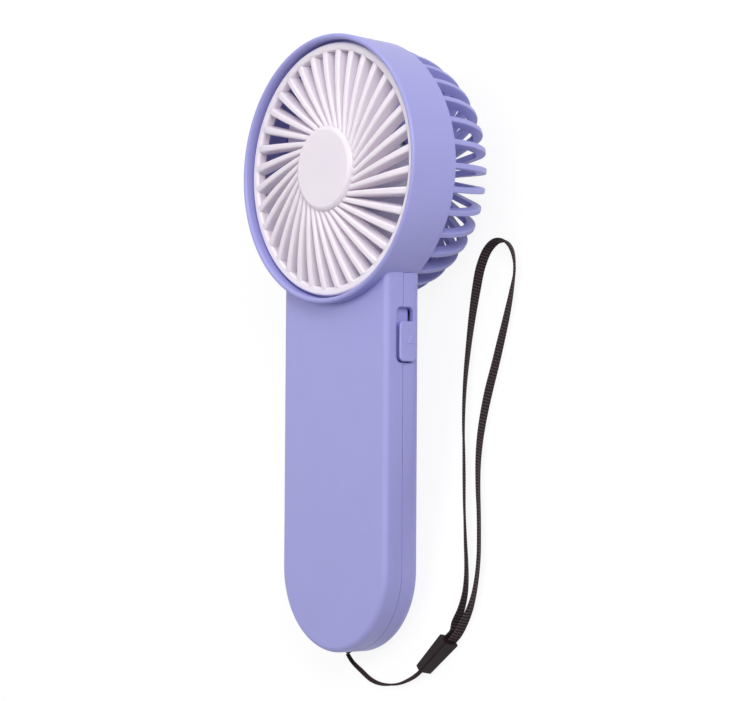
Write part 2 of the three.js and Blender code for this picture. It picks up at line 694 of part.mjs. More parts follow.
function rearCage() {
  const spigotTop = -HEAD_DEPTH + SPIGOT_DEPTH;
  const flangeTop = flangeZ + FLANGE_THICKNESS;
  const ring = [
    [spigotInnerRadius, flangeZ],
    [cageRadius, flangeZ],
    [cageRadius, flangeTop],
    [spigotRadius, flangeTop],
    [spigotRadius, spigotTop],
    [spigotInnerRadius, spigotTop],
  ];
  const cup = [
    [0, cageBackZ],
    [cupOuterRadius, cageBackZ],
    [cupOuterRadius, cageBackZ + CUP_DEPTH],
    [cupInnerRadius, cageBackZ + CUP_DEPTH],
    [cupInnerRadius, cageBackZ + CUP_FLOOR],
    [0, cageBackZ + CUP_FLOOR],
  ];
  const ribs = [];
  const pitch = (Math.PI * 2) / RIB_COUNT;
  for (let i = 0; i < RIB_COUNT; i++) {
    const angle = RIB_PHASE + i * pitch;
    const fromTrough = Math.abs(angle - Math.PI * 1.5);
    if (fromTrough > pitch * TROUGH_CLEAR_SHARE) ribs.push(cageRib(angle, RIB_WIDTH, RIB_DEPTH));
  }
  const holes = [-1, 1].flatMap((side) => {
    const x = (side * MOTOR_SCREW_SPACING) / 2;
    return [
      cylinder(counterboreRadius, cageBackZ - OVERRUN, motorScrewSeatZ, SCREW_SEGMENTS, x, 0),
      cylinder(screwHoleRadius, cageBackZ - OVERRUN, motorBackZ, SCREW_SEGMENTS, x, 0),
    ];
  });
  const notch = TROUGH_WIDTH / 2 - TROUGH_WALL;
  const leadNotch = block(-notch, notch, -cageFlatRadius, -BUSH_RADIUS * 2,
    cageBackZ + CUP_FLOOR, cageBackZ + CUP_DEPTH / 2);
  const bars = join(...ribs, leadTrough());
  return cut(
    join(turned([...ring, ring[0]], HEAD_SEGMENTS), turned(cup, SMALL_SEGMENTS), bars),
    ...holes,
    leadNotch,
    leadWindow(),
  );
}

// One swirled vane, straight in plan and tangent to a small circle about the axis
function grilleVane(angle) {
  const along = (radius) => Math.sqrt(radius * radius - VANE_OFFSET * VANE_OFFSET);
  const inner = along(DISC_RADIUS - DISC_WALL / 2);
  const outer = along(ringInnerRadius + GRILLE_EDGE * 2);
  const start = Math.asin(VANE_OFFSET / ringInnerRadius);
  const stations = [];
  for (let i = 0; i <= VANE_STEPS; i++) {
    const share = i / VANE_STEPS;
    const x = inner + (outer - inner) * share;
    const top = VANE_RISE * (1 - Math.pow(share, VANE_CROWN_POWER)) - GRILLE_EDGE / 2;
    const half = (VANE_INNER_WIDTH + (VANE_OUTER_WIDTH - VANE_INNER_WIDTH) * share) / 2;
    stations.push({ x, top, bottom: top - VANE_DEPTH, half });
  }
  const side = (sign) =>
    stations.map(({ x, top, bottom, half }) =>
      [top, bottom].map((z) =>
        point(x, sign * half - VANE_OFFSET, z).applyAxisAngle(point(0, 0, 1), angle + start)));
  return skin(side(1), side(-1));
}

function frontGrille() {
  const ring = [
    [ringInnerRadius, -GRILLE_DEPTH],
    [grilleRadius, -GRILLE_DEPTH],
    [grilleRadius, -GRILLE_EDGE],
    [grilleRadius - GRILLE_EDGE, 0],
    [ringInnerRadius + GRILLE_EDGE, 0],
    [ringInnerRadius, -GRILLE_EDGE],
  ];
  const skirtZ = DISC_RISE - DISC_EDGE - GRILLE_DEPTH;
  const disc = [[0, DISC_RISE]];
  for (let i = 0; i <= EDGE_STEPS; i++) {
    const turn = (i / EDGE_STEPS) * (Math.PI / 2);
    const radius = DISC_RADIUS - DISC_EDGE + DISC_EDGE * Math.sin(turn);
    disc.push([radius, DISC_RISE - DISC_EDGE + DISC_EDGE * Math.cos(turn)]);
  }
  disc.push([DISC_RADIUS, skirtZ], [DISC_RADIUS - DISC_WALL, skirtZ]);
  disc.push([DISC_RADIUS - DISC_WALL, DISC_RISE - DISC_WALL], [0, DISC_RISE - DISC_WALL]);
  const vanes = [];
  for (let i = 0; i < VANE_COUNT; i++) vanes.push(grilleVane(VANE_PHASE + (i * Math.PI * 2) / VANE_COUNT));
  return join(turned([...ring, ring[0]], HEAD_SEGMENTS), turned(disc, SMALL_SEGMENTS), ...vanes);
}

// One blade: twisted, swept back and a little cambered
function impellerBlade(angle) {
  const root = hubOuterRadius - HUB_WALL / 2;
  const grid = (offset) => {
    const rows = [];
    for (let i = 0; i <= BLADE_STEPS; i++) {
      const share = i / BLADE_STEPS;
      const radius = root + (bladeRadius - root) * share;
      const row = [];
      for (let j = 0; j <= CHORD_STEPS; j++) {
        const chord = j / CHORD_STEPS - 0.5;
        const turn = angle + BLADE_LEAN * share + BLADE_SWEEP * chord;
        const camber = Math.cos(chord * Math.PI) * BLADE_THICKNESS;
        const z = hubFaceZ - HUB_EDGE / 2 - BLADE_DEPTH * (chord + 0.5) + camber + offset;
        row.push(point(radius * Math.cos(turn), radius * Math.sin(turn), z));
      }
      rows.push(row);
    }
    return rows;
  };
  return skin(grid(BLADE_THICKNESS / 2), grid(-BLADE_THICKNESS / 2));
}

function impeller() {
  const hubBackZ = hubFaceZ - HUB_DEPTH;
  const boreRadius = SHAFT_RADIUS + BORE_GAP;
  const spindle = BUSH_RADIUS;
  const hub = [
    [0, hubFaceZ],
    [hubOuterRadius - HUB_EDGE, hubFaceZ],
    [hubOuterRadius - HUB_EDGE / 3, hubFaceZ - HUB_EDGE / 3],
    [hubOuterRadius, hubFaceZ - HUB_EDGE],
    [hubOuterRadius, hubBackZ],
    [hubInnerRadius, hubBackZ],
    [hubInnerRadius, hubFaceZ - HUB_EDGE],
    [spindle, hubFaceZ - HUB_WALL],
    [spindle, hubFaceZ - SHAFT_HUB_DEPTH],
    [boreRadius, hubFaceZ - SHAFT_HUB_DEPTH],
    [boreRadius, hubFaceZ - HUB_WALL],
    [0, hubFaceZ - HUB_WALL],
  ];
  const blades = [];
  for (let i = 0; i < BLADE_COUNT; i++) blades.push(impellerBlade((i * Math.PI * 2) / BLADE_COUNT));
  return join(turned(hub, SMALL_SEGMENTS), ...blades);
}

function motorCan() {
  const low = motorBackZ + MOTOR_CAP_LENGTH + SEAT;
  const bore = SHAFT_RADIUS + BORE_GAP;
  const profile = [
    [bore, low],
    [MOTOR_RADIUS, low],
    [MOTOR_RADIUS, motorFaceZ - MOTOR_EDGE],
    [MOTOR_RADIUS - MOTOR_EDGE, motorFaceZ],
    [bore, motorFaceZ],
  ];
  return turned([...profile, profile[0]], SMALL_SEGMENTS);
}

function motorEndCap() {
  const bore = SHAFT_RADIUS + BORE_GAP;
  const high = motorBackZ + MOTOR_CAP_LENGTH;
  const profile = [
    [0, motorBackZ],
    [MOTOR_RADIUS, motorBackZ],
    [MOTOR_RADIUS, high],
    [bore, high],
    [bore, motorBackZ + MOTOR_CAP_LENGTH / 2],
    [0, motorBackZ + MOTOR_CAP_LENGTH / 2],
  ];
  const holes = [-1, 1].map((side) =>
    cylinder(pilotRadius, motorBackZ - OVERRUN, motorBackZ + MOTOR_CAP_LENGTH - SEAT, SCREW_SEGMENTS,
      (side * MOTOR_SCREW_SPACING) / 2, 0));
  return cut(turned(profile, SMALL_SEGMENTS), ...holes);
}

function motorBush() {
  const bore = SHAFT_RADIUS + BORE_GAP;
  const low = motorFaceZ + SEAT;
  const profile = [
    [bore, low],
    [BUSH_RADIUS, low],
    [BUSH_RADIUS, low + BUSH_HEIGHT],
    [bore, low + BUSH_HEIGHT],
  ];
  return turned([...profile, profile[0]], SCREW_SEGMENTS);
}

function motorShaft() {
  return cylinder(SHAFT_RADIUS, motorBackZ + MOTOR_CAP_LENGTH / 2 + SEAT, hubFaceZ - HUB_WALL - SEAT,
    SCREW_SEGMENTS);
}

// Pan-head screw along z, with its head's flat underside at the seat and its tip ahead of it
function screw(x, y, seatZ, length) {
  const headZ = seatZ - SCREW_HEAD_HEIGHT;
  const profile = [
    [0, headZ],
    [SCREW_HEAD_RADIUS * SCREW_CROWN_SHARE, headZ],
    [SCREW_HEAD_RADIUS, headZ + SCREW_HEAD_HEIGHT / 2],
    [SCREW_HEAD_RADIUS, seatZ],
    [SCREW_RADIUS, seatZ],
    [SCREW_RADIUS, seatZ + length - SCREW_RADIUS],
    [0, seatZ + length],
  ];
  return turned(profile, SCREW_SEGMENTS, x, y);
}

function sliderButton() {
  const stemX = sliderFlangeX - SLIDER_FLANGE / 2;
  const button = sidePlate(SLIDER_LENGTH, SLOT_WIDTH - SEAT * 2, SLOT_CORNER - SEAT, stemX - SLIDER_EDGE,
    handleHalf + SLIDER_PROUD, sliderY, openingZ, SLIDER_EDGE);
  const slotEnd = SLOT_LENGTH / 2 + SLIDER_OVERLAP;
  const flangeMiddle = openingZ + SLIDER_FLANGE_SHIFT;
  const flange = block(sliderFlangeX - SLIDER_FLANGE, sliderFlangeX,
    slotY - slotEnd - sliderTravel, slotY + slotEnd,
    flangeMiddle - SLIDER_FLANGE_WIDTH / 2, flangeMiddle + SLIDER_FLANGE_WIDTH / 2);
  const prongs = [-1, 1].map((side) => {
    const y = leverY + side * (LEVER_LENGTH / 2 + SEAT + FORK_PRONG / 2);
    return block(sliderForkX, stemX, y - FORK_PRONG / 2, y + FORK_PRONG / 2,
      openingZ - LEVER_HEIGHT, openingZ + LEVER_HEIGHT);
  });
  const room = sliderFlangeX - SLIDER_FLANGE;
  const trim = block(room - SLIDER_EDGE * 4, room, sliderY - SLIDER_LENGTH, sliderY + SLIDER_LENGTH,
    openingZ - SLOT_WIDTH, openingZ + SLOT_WIDTH);
  return join(cut(button, trim), flange, ...prongs);
}

function switchSpace() {
  return { left: boardRight - SWITCH_DEPTH, right: boardRight, y: leverY + LEVER_LENGTH };
}

function switchBody() {
  const { left, right, y } = switchSpace();
  const shell = block(left, right, y - SWITCH_LENGTH / 2, y + SWITCH_LENGTH / 2,
    boardZ + SEAT, boardZ + SEAT + SWITCH_HEIGHT);
  const window = block(left + SWITCH_DEPTH / 2, right + OVERRUN,
    leverY - LEVER_LENGTH / 2 - SEAT, leverY + LEVER_LENGTH / 2 + sliderTravel + SEAT,
    openingZ - LEVER_HEIGHT / 2 - SEAT, openingZ + LEVER_HEIGHT / 2 + SEAT);
  return cut(shell, window);
}

function switchLever() {
  const { left } = switchSpace();
  return block(left + SWITCH_DEPTH / 2 + SEAT, sliderFlangeX - SLIDER_FLANGE - SEAT,
    leverY - LEVER_LENGTH / 2, leverY + LEVER_LENGTH / 2,
    openingZ - LEVER_HEIGHT / 2, openingZ + LEVER_HEIGHT / 2);
}

function circuitBoard() {
  const corner = BOARD_THICKNESS;
  const shape = roundedRectangle(boardRight - boardLeft, BOARD_LENGTH, corner);
  const plate = roundedPlate(shape, boardBackZ, boardZ, 0, EDGE_STEPS);
  const board = solid(plate.translate((boardLeft + boardRight) / 2, boardY, 0));
  const holes = boardBosses.map(([, x, y]) =>
    cylinder(screwHoleRadius, boardBackZ - OVERRUN, boardZ + OVERRUN, SCREW_SEGMENTS, x, y));
  return cut(board, ...holes);
}

// Shell of the charging socket with its tongue, open on the handle's left side
function chargingSocket() {
  const mouth = -handleHalf + SEAT;
  const back = mouth + SOCKET_LENGTH;
  const shell = sidePlate(SOCKET_WIDTH, SOCKET_HEIGHT, SOCKET_HEIGHT / 2 - SOCKET_WALL, mouth,
    back, boardY, openingZ, 0);
  const hollow = sidePlate(SOCKET_WIDTH - SOCKET_WALL * 2, SOCKET_HEIGHT - SOCKET_WALL * 2,
    SOCKET_HEIGHT / 2 - SOCKET_WALL * 2, mouth - OVERRUN, back - SOCKET_WALL * 2, boardY, openingZ, 0);
  const tongue = block(mouth + SOCKET_TONGUE, back - SOCKET_WALL,
    boardY - SOCKET_TONGUE_WIDTH / 2, boardY + SOCKET_TONGUE_WIDTH / 2,
    openingZ - SOCKET_TONGUE / 2, openingZ + SOCKET_TONGUE / 2);
  return join(cut(shell, hollow), tongue);
}

function boardPart(size, height, x, reachIn) {
  const y = boardTopY - reachIn;
  const low = boardZ + SEAT;
  return block(x - size / 2, x + size / 2, y - size / 2, y + size / 2, low, low + height);
}

function batteryCell() {
  const shape = roundedRectangle(CELL_WIDTH, cellLength, CELL_CORNER);
  const body = roundedPlate(shape, cellBottomZ(), cellTopZ(), CELL_EDGE, EDGE_STEPS, INNER_EDGE_STEPS);
  return solid(body.translate(0, cellY, 0));
}

function batteryPad() {
  const [halfX, halfY] = [(CELL_WIDTH * PAD_SHARE) / 2, (cellLength * PAD_SHARE) / 2];
  const low = backInsideZ + SEAT;
  return block(-halfX, halfX, cellY - halfY, cellY + halfY, low, low + PAD_THICKNESS);
}

function batteryLead(side) {
  const x = side * BATTERY_LEAD_X;
  const middle = (cellBottomZ() + cellTopZ()) / 2;
  const landing = boardZ + SEAT + LEAD_RADIUS;
  const from = cellTopY + SEAT;
  return tube([
    point(x, from, middle),
    point(x, (from + boardEndY) / 2, Math.max(middle, landing) + LEAD_SLACK),
    point(x, boardEndY + LEAD_LANDING / 3, landing + LEAD_SLACK / 2),
    point(x, boardEndY + LEAD_LANDING, landing),
  ], LEAD_RADIUS, LEAD_SIDES, BATTERY_LEAD_STEPS);
}

// From the board, through the window in the head wall and down the trough to the motor's end cap
function motorLead(side) {
  const x = side * MOTOR_LEAD_X;
  const landing = boardZ + SEAT + LEAD_RADIUS;
  const depth = TROUGH_WALL + SEAT + LEAD_RADIUS;
  const along = (share) => {
    const [radius, z] = cagePoint(share, depth);
    return point(x, -radius, z);
  };
  const floor = cageBackZ + depth + CUP_FLOOR - TROUGH_WALL;
  const windowZ = leadWindowLow() + LEAD_RADIUS + LEAD_SLACK;
  const ductSide = -spigotInnerRadius + LEAD_RADIUS + SEAT * 2;
  return tube([
    point(x, boardTopY - LEAD_LANDING / 2, landing),
    point(x, boardTopY, landing),
    point(x, -HEAD_RADIUS - LEAD_SLACK * 3, windowZ + LEAD_SLACK),
    point(x, -pocketRadius, windowZ),
    point(x, ductSide, windowZ - LEAD_RADIUS),
    point(x, ductSide + SEAT, flangeZ + FLANGE_THICKNESS),
    point(x, ductSide, flangeZ - LEAD_RADIUS),
    ...TROUGH_LEAD_SHARES.map(along),
    point(x, -cageFlatRadius + LEAD_SLACK, cageBackZ + depth),
    point(x, -cupOuterRadius - LEAD_SLACK * 3, floor - LEAD_RADIUS),
    point(x, -cupOuterRadius, floor),
    point(x, -MOTOR_RADIUS - SEAT, floor),
  ], LEAD_RADIUS, LEAD_SIDES, MOTOR_LEAD_STEPS);
}

// Ring of cord round the bar of the lanyard eye, with the knot that closes it
function strapHitch() {
  const { centre, angle, outward } = eyeFrame();
  const reach = (EYE_BAR + EYE_HOLE) / 2;
  const outwardReach = SHELL_WALL / 2 + SEAT + BORE_GAP + HITCH_RADIUS;
  const ring = new THREE.TorusGeometry(reach, HITCH_RADIUS, CORD_SIDES, SCREW_SEGMENTS * 2);
  ring.scale(1, outwardReach / reach, 1).rotateZ(angle).translate(centre.x, centre.y, centre.z);
  const knotAt = centre.clone().addScaledVector(outward, SHELL_WALL / 2 + BORE_GAP * 2 + HITCH_KNOT);
  knotAt.z -= HITCH_RADIUS;
  const knot = new THREE.SphereGeometry(HITCH_KNOT, SCREW_SEGMENTS, SCREW_SEGMENTS / 2);
  knot.translate(knotAt.x, knotAt.y, knotAt.z);
  return join(solid(ring), solid(knot));
}

function crimpFrame() {
  const along = point(Math.cos(CRIMP_BEARING), Math.sin(CRIMP_BEARING), 0);
  const across = point(-along.y, along.x, 0);
  const near = point(CRIMP_NEAR[0], CRIMP_NEAR[1], CRIMP_THICKNESS / 2);
  return { along, across, near, far: near.clone().addScaledVector(along, CRIMP_LENGTH) };
}

function strapCord() {
  const { along, near } = crimpFrame();
  const route = CORD_ROUTE.map((place) => point(...place));
  const straightFrom = near.clone().addScaledVector(along, -CORD_RADIUS * 3);
  route.push(straightFrom, near.clone().addScaledVector(along, -SEAT));
  return tube(route, CORD_RADIUS, CORD_SIDES, CORD_STEPS);
}

function strapCrimp() {
  const { near } = crimpFrame();
  const shape = roundedRectangle(CRIMP_THICKNESS, CRIMP_WIDTH, CRIMP_CORNER);
  const body = roundedPlate(shape, 0, CRIMP_LENGTH, CRIMP_EDGE, EDGE_STEPS, INNER_EDGE_STEPS);
  body.rotateY(Math.PI / 2).rotateZ(CRIMP_BEARING).translate(near.x, near.y, near.z);
  return solid(body);
}

// Flat section of the webbing with rounded edges, as offsets along its width and its thickness
function webbingSection() {
  const [wide, thick] = [WEBBING_WIDTH / 2, WEBBING_THICKNESS / 2];
  const shoulder = wide - thick;
  return [
    [wide, thick / 2], [shoulder, thick], [-shoulder, thick], [-wide, thick / 2],
    [-wide, -thick / 2], [-shoulder, -thick], [shoulder, -thick], [wide, -thick / 2],
  ];
}

// The webbing stands or leans on the surface, so its height follows from its twist
function strapWebbing() {
  const { along, across, far } = crimpFrame();
  const end = (side, run) =>
    far.clone().addScaledVector(across, (side * WEBBING_SPREAD) / 2).addScaledVector(along, run);
  const upright = 90;
  const stops = [
    { at: end(1, SEAT), twist: upright },
    { at: end(1, WEBBING_RUN), twist: upright },
    ...WEBBING_ROUTE.map(([x, y, twist]) => ({ at: point(x, y, 0), twist })),
    { at: end(-1, WEBBING_RUN), twist: upright },
    { at: end(-1, SEAT), twist: upright },
  ];
  const places = stops.map(({ at }) => point(at.x, at.y, 0));
  const curve = new THREE.CatmullRomCurve3(places, false, "centripetal");
  const section = webbingSection();
  const rings = [];
  for (let i = 0; i < stops.length; i++) {
    const share = i / (stops.length - 1);
    const twist = THREE.MathUtils.degToRad(stops[i].twist);
    const middle = curve.getPoint(share);
    const side = curve.getTangent(share).cross(point(0, 0, 1)).normalize();
    const wide = side.clone().multiplyScalar(Math.cos(twist)).setZ(Math.sin(twist));
    const thick = side.clone().multiplyScalar(-Math.sin(twist)).setZ(Math.cos(twist));
    const ring = section.map(([u, v]) => middle.clone().addScaledVector(wide, u).addScaledVector(thick, v));
    const lowest = Math.min(...ring.map((corner) => corner.z));
    rings.push(ring.map((corner) => corner.setZ(corner.z - lowest + CORD_LIFT)));
  }
  return loft(rings);
}

// The fan's own pieces, in the fan's own frame
const fan = new THREE.Group();
fan.add(
  piece("front_shell", frontShell(), lavender()),
  piece("rear_shell", rearShell(), lavender()),
  piece("rear_cage", rearCage(), lavender()),
  piece("front_grille", frontGrille(), white()),
  piece("impeller", impeller(), white()),
  piece("motor_can", motorCan(), steel()),
  piece("motor_end_cap", motorEndCap(), black()),
  piece("motor_bush", motorBush(), material("#b08d4a", 0.4, 1)),
  piece("motor_shaft", motorShaft(), steel()),
  piece("slider_button", sliderButton(), lavender()),
  piece("switch_body", switchBody(), steel()),
  piece("switch_lever", switchLever(), black()),
  piece("circuit_board", circuitBoard(), material("#1f6b3c", 0.5)),
  piece("charging_socket", chargingSocket(), steel()),
  piece("controller_chip", boardPart(CHIP_SIZE, CHIP_HEIGHT, boardLeft / 4, BOARD_LENGTH / 3), black()),
  piece("boost_coil", boardPart(COIL_SIZE, COIL_HEIGHT, boardRight / 3, BOARD_LENGTH / 3), black()),
  piece("battery_cell", batteryCell(), material("#c9ccd1", 0.35, 0.6)),
  piece("battery_pad", batteryPad(), material("#e8e4dc", 0.95)),
  piece("battery_lead_positive", batteryLead(1), material("#b3202a", 0.5)),
  piece("battery_lead_negative", batteryLead(-1), black()),
  piece("motor_lead_positive", motorLead(1), material("#b3202a", 0.5)),
  piece("motor_lead_negative", motorLead(-1), black()),
  piece("strap_hitch", strapHitch(), black()),
);
for (const [name, x, y] of shellBosses) {
  fan.add(piece("shell_screw_" + name, screw(x, y, screwSeatZ - SEAT, SCREW_LENGTH), steel()));
}
for (const [name, x, y] of boardBosses) {
  fan.add(piece("board_screw_" + name, screw(x, y, boardBackZ - SEAT, BOARD_SCREW_LENGTH), steel()));
}
for (const [name, side] of [["left", -1], ["right", 1]]) {
  const x = (side * MOTOR_SCREW_SPACING) / 2;
  fan.add(piece("motor_screw_" + name, screw(x, 0, motorScrewSeatZ - SEAT, MOTOR_SCREW_LENGTH), steel()));
}

// The fan lies on the back of its cage and on its tail, with the middle of its box over the origin
const tailContact = HANDLE_REACH - BACK_EDGE_RADIUS;
fan.rotation.x = Math.atan((handleBackZ - cageBackZ) / (tailContact - cageFlatRadius));
fan.updateMatrixWorld(true);
const box = new THREE.Box3();
for (const mesh of fan.children) {
  if (mesh.name !== "strap_hitch") box.expandByObject(mesh, true);
}
fan.position.set(-(box.min.x + box.max.x) / 2, -(box.min.y + box.max.y) / 2, -box.min.z);
fan.updateMatrixWorld(true);

// The strap lies on the surface, in the place that the fan had before it was centred
const strap = new THREE.Group();
strap.position.set(fan.position.x, fan.position.y, 0);
strap.add(
  piece("strap_cord", strapCord(), black()),
  piece("strap_crimp", strapCrimp(), black()),
  piece("strap_webbing", strapWebbing(), black()),
);

const root = new THREE.Group();
root.add(fan, strap);
export default root;
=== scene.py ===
# %% [markdown]
# A slim battery hand fan with a wrist strap, lying on its back on a pale surface.
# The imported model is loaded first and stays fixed. Every finished shape below is built round it: the
# moulded shells, the grille and the cage, the impeller, the slider, the screws and the strap.

# %% Load the fixed frame
import json
from math import asin, atan, copysign, cos, degrees, pi, radians, sin, sqrt, tau

import bmesh
import bpy
from mathutils import Matrix, Vector


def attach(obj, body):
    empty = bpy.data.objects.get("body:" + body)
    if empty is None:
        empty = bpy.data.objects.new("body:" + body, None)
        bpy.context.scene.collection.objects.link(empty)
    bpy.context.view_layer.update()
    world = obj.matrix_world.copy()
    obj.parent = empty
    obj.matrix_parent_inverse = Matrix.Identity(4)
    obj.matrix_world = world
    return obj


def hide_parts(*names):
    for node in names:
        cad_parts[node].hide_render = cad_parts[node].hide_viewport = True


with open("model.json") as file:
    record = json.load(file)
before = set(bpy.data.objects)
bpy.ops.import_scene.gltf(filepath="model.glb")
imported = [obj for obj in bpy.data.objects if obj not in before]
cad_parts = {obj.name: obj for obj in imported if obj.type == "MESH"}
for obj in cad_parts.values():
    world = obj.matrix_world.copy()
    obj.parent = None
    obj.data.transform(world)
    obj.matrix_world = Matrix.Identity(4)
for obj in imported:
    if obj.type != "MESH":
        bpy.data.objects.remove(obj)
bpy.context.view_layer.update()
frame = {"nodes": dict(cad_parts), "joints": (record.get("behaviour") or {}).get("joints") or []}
print("nodes in the frame:", len(frame["nodes"]))

# %% [markdown]
# The fan leans on its cage and its tail, so nothing on it is square to the floor. Its pieces are drawn
# in the fan's own axes, in millimetres: x to the side of the switch, y up the handle and z out of the
# grille, with the origin on the head's axis at the grille's face. The two joints give those axes.

# %% The fan's own axes
MM = 0.001
JOINT_DEPTH = 12.0
UP = Vector((0, 0, 1))

joints = {joint["name"]: joint for joint in frame["joints"]}
out_axis = Vector(joints["impeller_spin"]["axis"]).normalized()
up_axis = Vector(joints["switch_slide"]["axis"]).normalized()
side_axis = up_axis.cross(out_axis)
head_point = Vector(joints["impeller_spin"]["pos_m"]) + out_axis * JOINT_DEPTH * MM

fan_axes = Matrix((side_axis, up_axis, out_axis)).transposed().to_4x4()
FAN = Matrix.Translation(head_point) @ fan_axes
FAN_MM = FAN @ Matrix.Scale(MM, 4)
print("tilt in degrees:", round(degrees(asin(up_axis.z)), 2))

# %% [markdown]
# The camera stands where the photographer stood, to the right of the fan and above it, rolled so that
# the handle runs upright in the picture. Its place and its axes are given in the fan's own axes.

# %% Camera
CAMERA_PLACE = Vector((625.8, -91.92, 509.57))
CAMERA_RIGHT = Vector((0.64556, 0.00581, -0.76368))
CAMERA_VIEW = Vector((-0.76318, 0.04211, -0.64482))
FOCAL_LENGTH = 121.85

camera = bpy.data.objects.new("camera", bpy.data.cameras.new("camera"))
bpy.context.scene.collection.objects.link(camera)
view_axis = CAMERA_VIEW.normalized()
right_axis = (CAMERA_RIGHT - view_axis * CAMERA_RIGHT.dot(view_axis)).normalized()
camera_axes = Matrix((right_axis, right_axis.cross(view_axis), -view_axis)).transposed().to_4x4()
camera.matrix_world = FAN @ Matrix.Translation(CAMERA_PLACE * MM) @ camera_axes
camera.data.lens = FOCAL_LENGTH
camera.data.sensor_width = 36.0
camera.data.clip_start = 0.05
camera.data.clip_end = 20.0
bpy.context.scene.camera = camera
print("camera's distance in mm:", round(CAMERA_PLACE.length))

# %% [markdown]
# Colours are written as sRGB hex values, as a picker reads them, and one function turns them into the
# linear values that the shader takes. Another adds a shader node with its settings and its links.

# %% Colours and nodes
def srgb(code):
    channels = [int(code[place : place + 2], 16) / 255 for place in (1, 3, 5)]
    linear = [c / 12.92 if c <= 0.04045 else ((c + 0.055) / 1.055) ** 2.4 for c in channels]
    return (*linear, 1.0)


def add_node(tree, kind, inputs=None, **settings):
    """Adds a node. An input is a value, or a (node, output) pair to link."""
    node = tree.nodes.new(kind)
    for name, value in settings.items():
        setattr(node, name, value)
    for name, value in (inputs or {}).items():
        if isinstance(value, tuple) and isinstance(value[0], bpy.types.Node):
            tree.links.new(value[0].outputs[value[1]], node.inputs[name])
        else:
            node.inputs[name].default_value = value
    return node


def new_material(name):
    material = bpy.data.materials.new(name)
    material.use_nodes = True
    material.node_tree.nodes.clear()
    return material, material.node_tree


def end_material(tree, shader, output="BSDF"):
    add_node(tree, "ShaderNodeOutputMaterial", {"Surface": (shader, output)})


print("mid grey as a linear value:", round(srgb("#808080")[0], 3))

# %% [markdown]
# Moulded plastic is not one flat colour. The mould's spark-eroded grain breaks up the gloss, and the
# tint and the gloss drift a little from place to place. ABS looks satin that way, polypropylene milky,
# and nylon and foam dull. The noises have real sizes, and the plastics differ only in their values.

# %% Moulded plastics
GRAIN_SIZE = 0.35 * MM
GRAIN_DEPTH = GRAIN_SIZE / 6
DRIFT_SIZE = 14.0 * MM
GLOSS_DRIFT = 0.06
PLASTIC_IOR = 1.53
SCATTER_DEPTH = 1.2 * MM


def tint_and_gloss(tree, noise, colour, deep, low, high):
    """What drifts with a noise: the tint, and the roughness from low to high."""
    colours = {"Factor": (noise, "Fac"), "A": srgb(deep), "B": srgb(colour)}
    tint = add_node(tree, "ShaderNodeMix", colours, data_type="RGBA")
    gloss = add_node(tree, "ShaderNodeMapRange", {"Value": (noise, "Fac"), "To Min": low, "To Max": high})
    return {"Base Color": (tint, "Result"), "Roughness": (gloss, "Result")}


def moulded_plastic(name, colour, deep, roughness, grain, coat=0.0, subsurface=0.0, specular=0.5):
    material, tree = new_material(name)
    at = (add_node(tree, "ShaderNodeTexCoord"), "Object")
    drift = add_node(tree, "ShaderNodeTexNoise", {"Vector": at, "Scale": 1 / DRIFT_SIZE, "Detail": 3.0})
    fine = add_node(tree, "ShaderNodeTexNoise", {"Vector": at, "Scale": 1 / GRAIN_SIZE, "Detail": 2.0})
    relief = {"Height": (fine, "Fac"), "Strength": grain, "Distance": GRAIN_DEPTH}
    look = {
        **tint_and_gloss(tree, drift, colour, deep, roughness - GLOSS_DRIFT, roughness + GLOSS_DRIFT),
        "Normal": (add_node(tree, "ShaderNodeBump", relief), "Normal"),
        "IOR": PLASTIC_IOR,
        "Specular IOR Level": specular,
        "Coat Weight": coat,
        "Coat Roughness": 0.2,
        "Subsurface Weight": subsurface,
        "Subsurface Radius": (1.0, 0.95, 1.0),
        "Subsurface Scale": SCATTER_DEPTH,
    }
    end_material(tree, add_node(tree, "ShaderNodeBsdfPrincipled", look))
    return material


lavender_abs = moulded_plastic("lavender_moulded_ABS", "#a5a5e4", "#a1a0de", 0.42, 0.25)
white_abs = moulded_plastic(
    "white_violet_moulded_ABS", "#f8eff9", "#f4ebf6", 0.34, 0.12, coat=0.15, subsurface=0.35
)
clear_white_pp = moulded_plastic(
    "milky_moulded_polypropylene", "#e4deef", "#dad4e8", 0.36, 0.1, subsurface=0.3
)
black_nylon = moulded_plastic("black_moulded_nylon", "#262326", "#1c1a1c", 0.5, 0.4)
crimp_black = moulded_plastic("black_brown_moulded_crimp", "#26191b", "#1c1113", 0.36, 0.3, specular=0.1)
green_resist = moulded_plastic("green_solder_resist", "#1f6b3c", "#195a32", 0.35, 0.1, coat=0.3)
white_foam = moulded_plastic("closed_cell_foam", "#e6e2da", "#d8d3ca", 0.95, 1.0)
red_sleeve = moulded_plastic("red_PVC_insulation", "#b3202a", "#9c1a24", 0.4, 0.05)
print("plastics:", len(bpy.data.materials))

# %% [markdown]
# The metals are plated steel, a sintered bronze bush and the foil of the cell. Steel that was drawn
# into a can shows fine rings round its axis. Here a stretched noise gives the streaks.

# %% Metals
STREAK_SIZE = 0.5 * MM
STREAK_STRETCH = 12.0
STREAK_GLOSS = 0.3


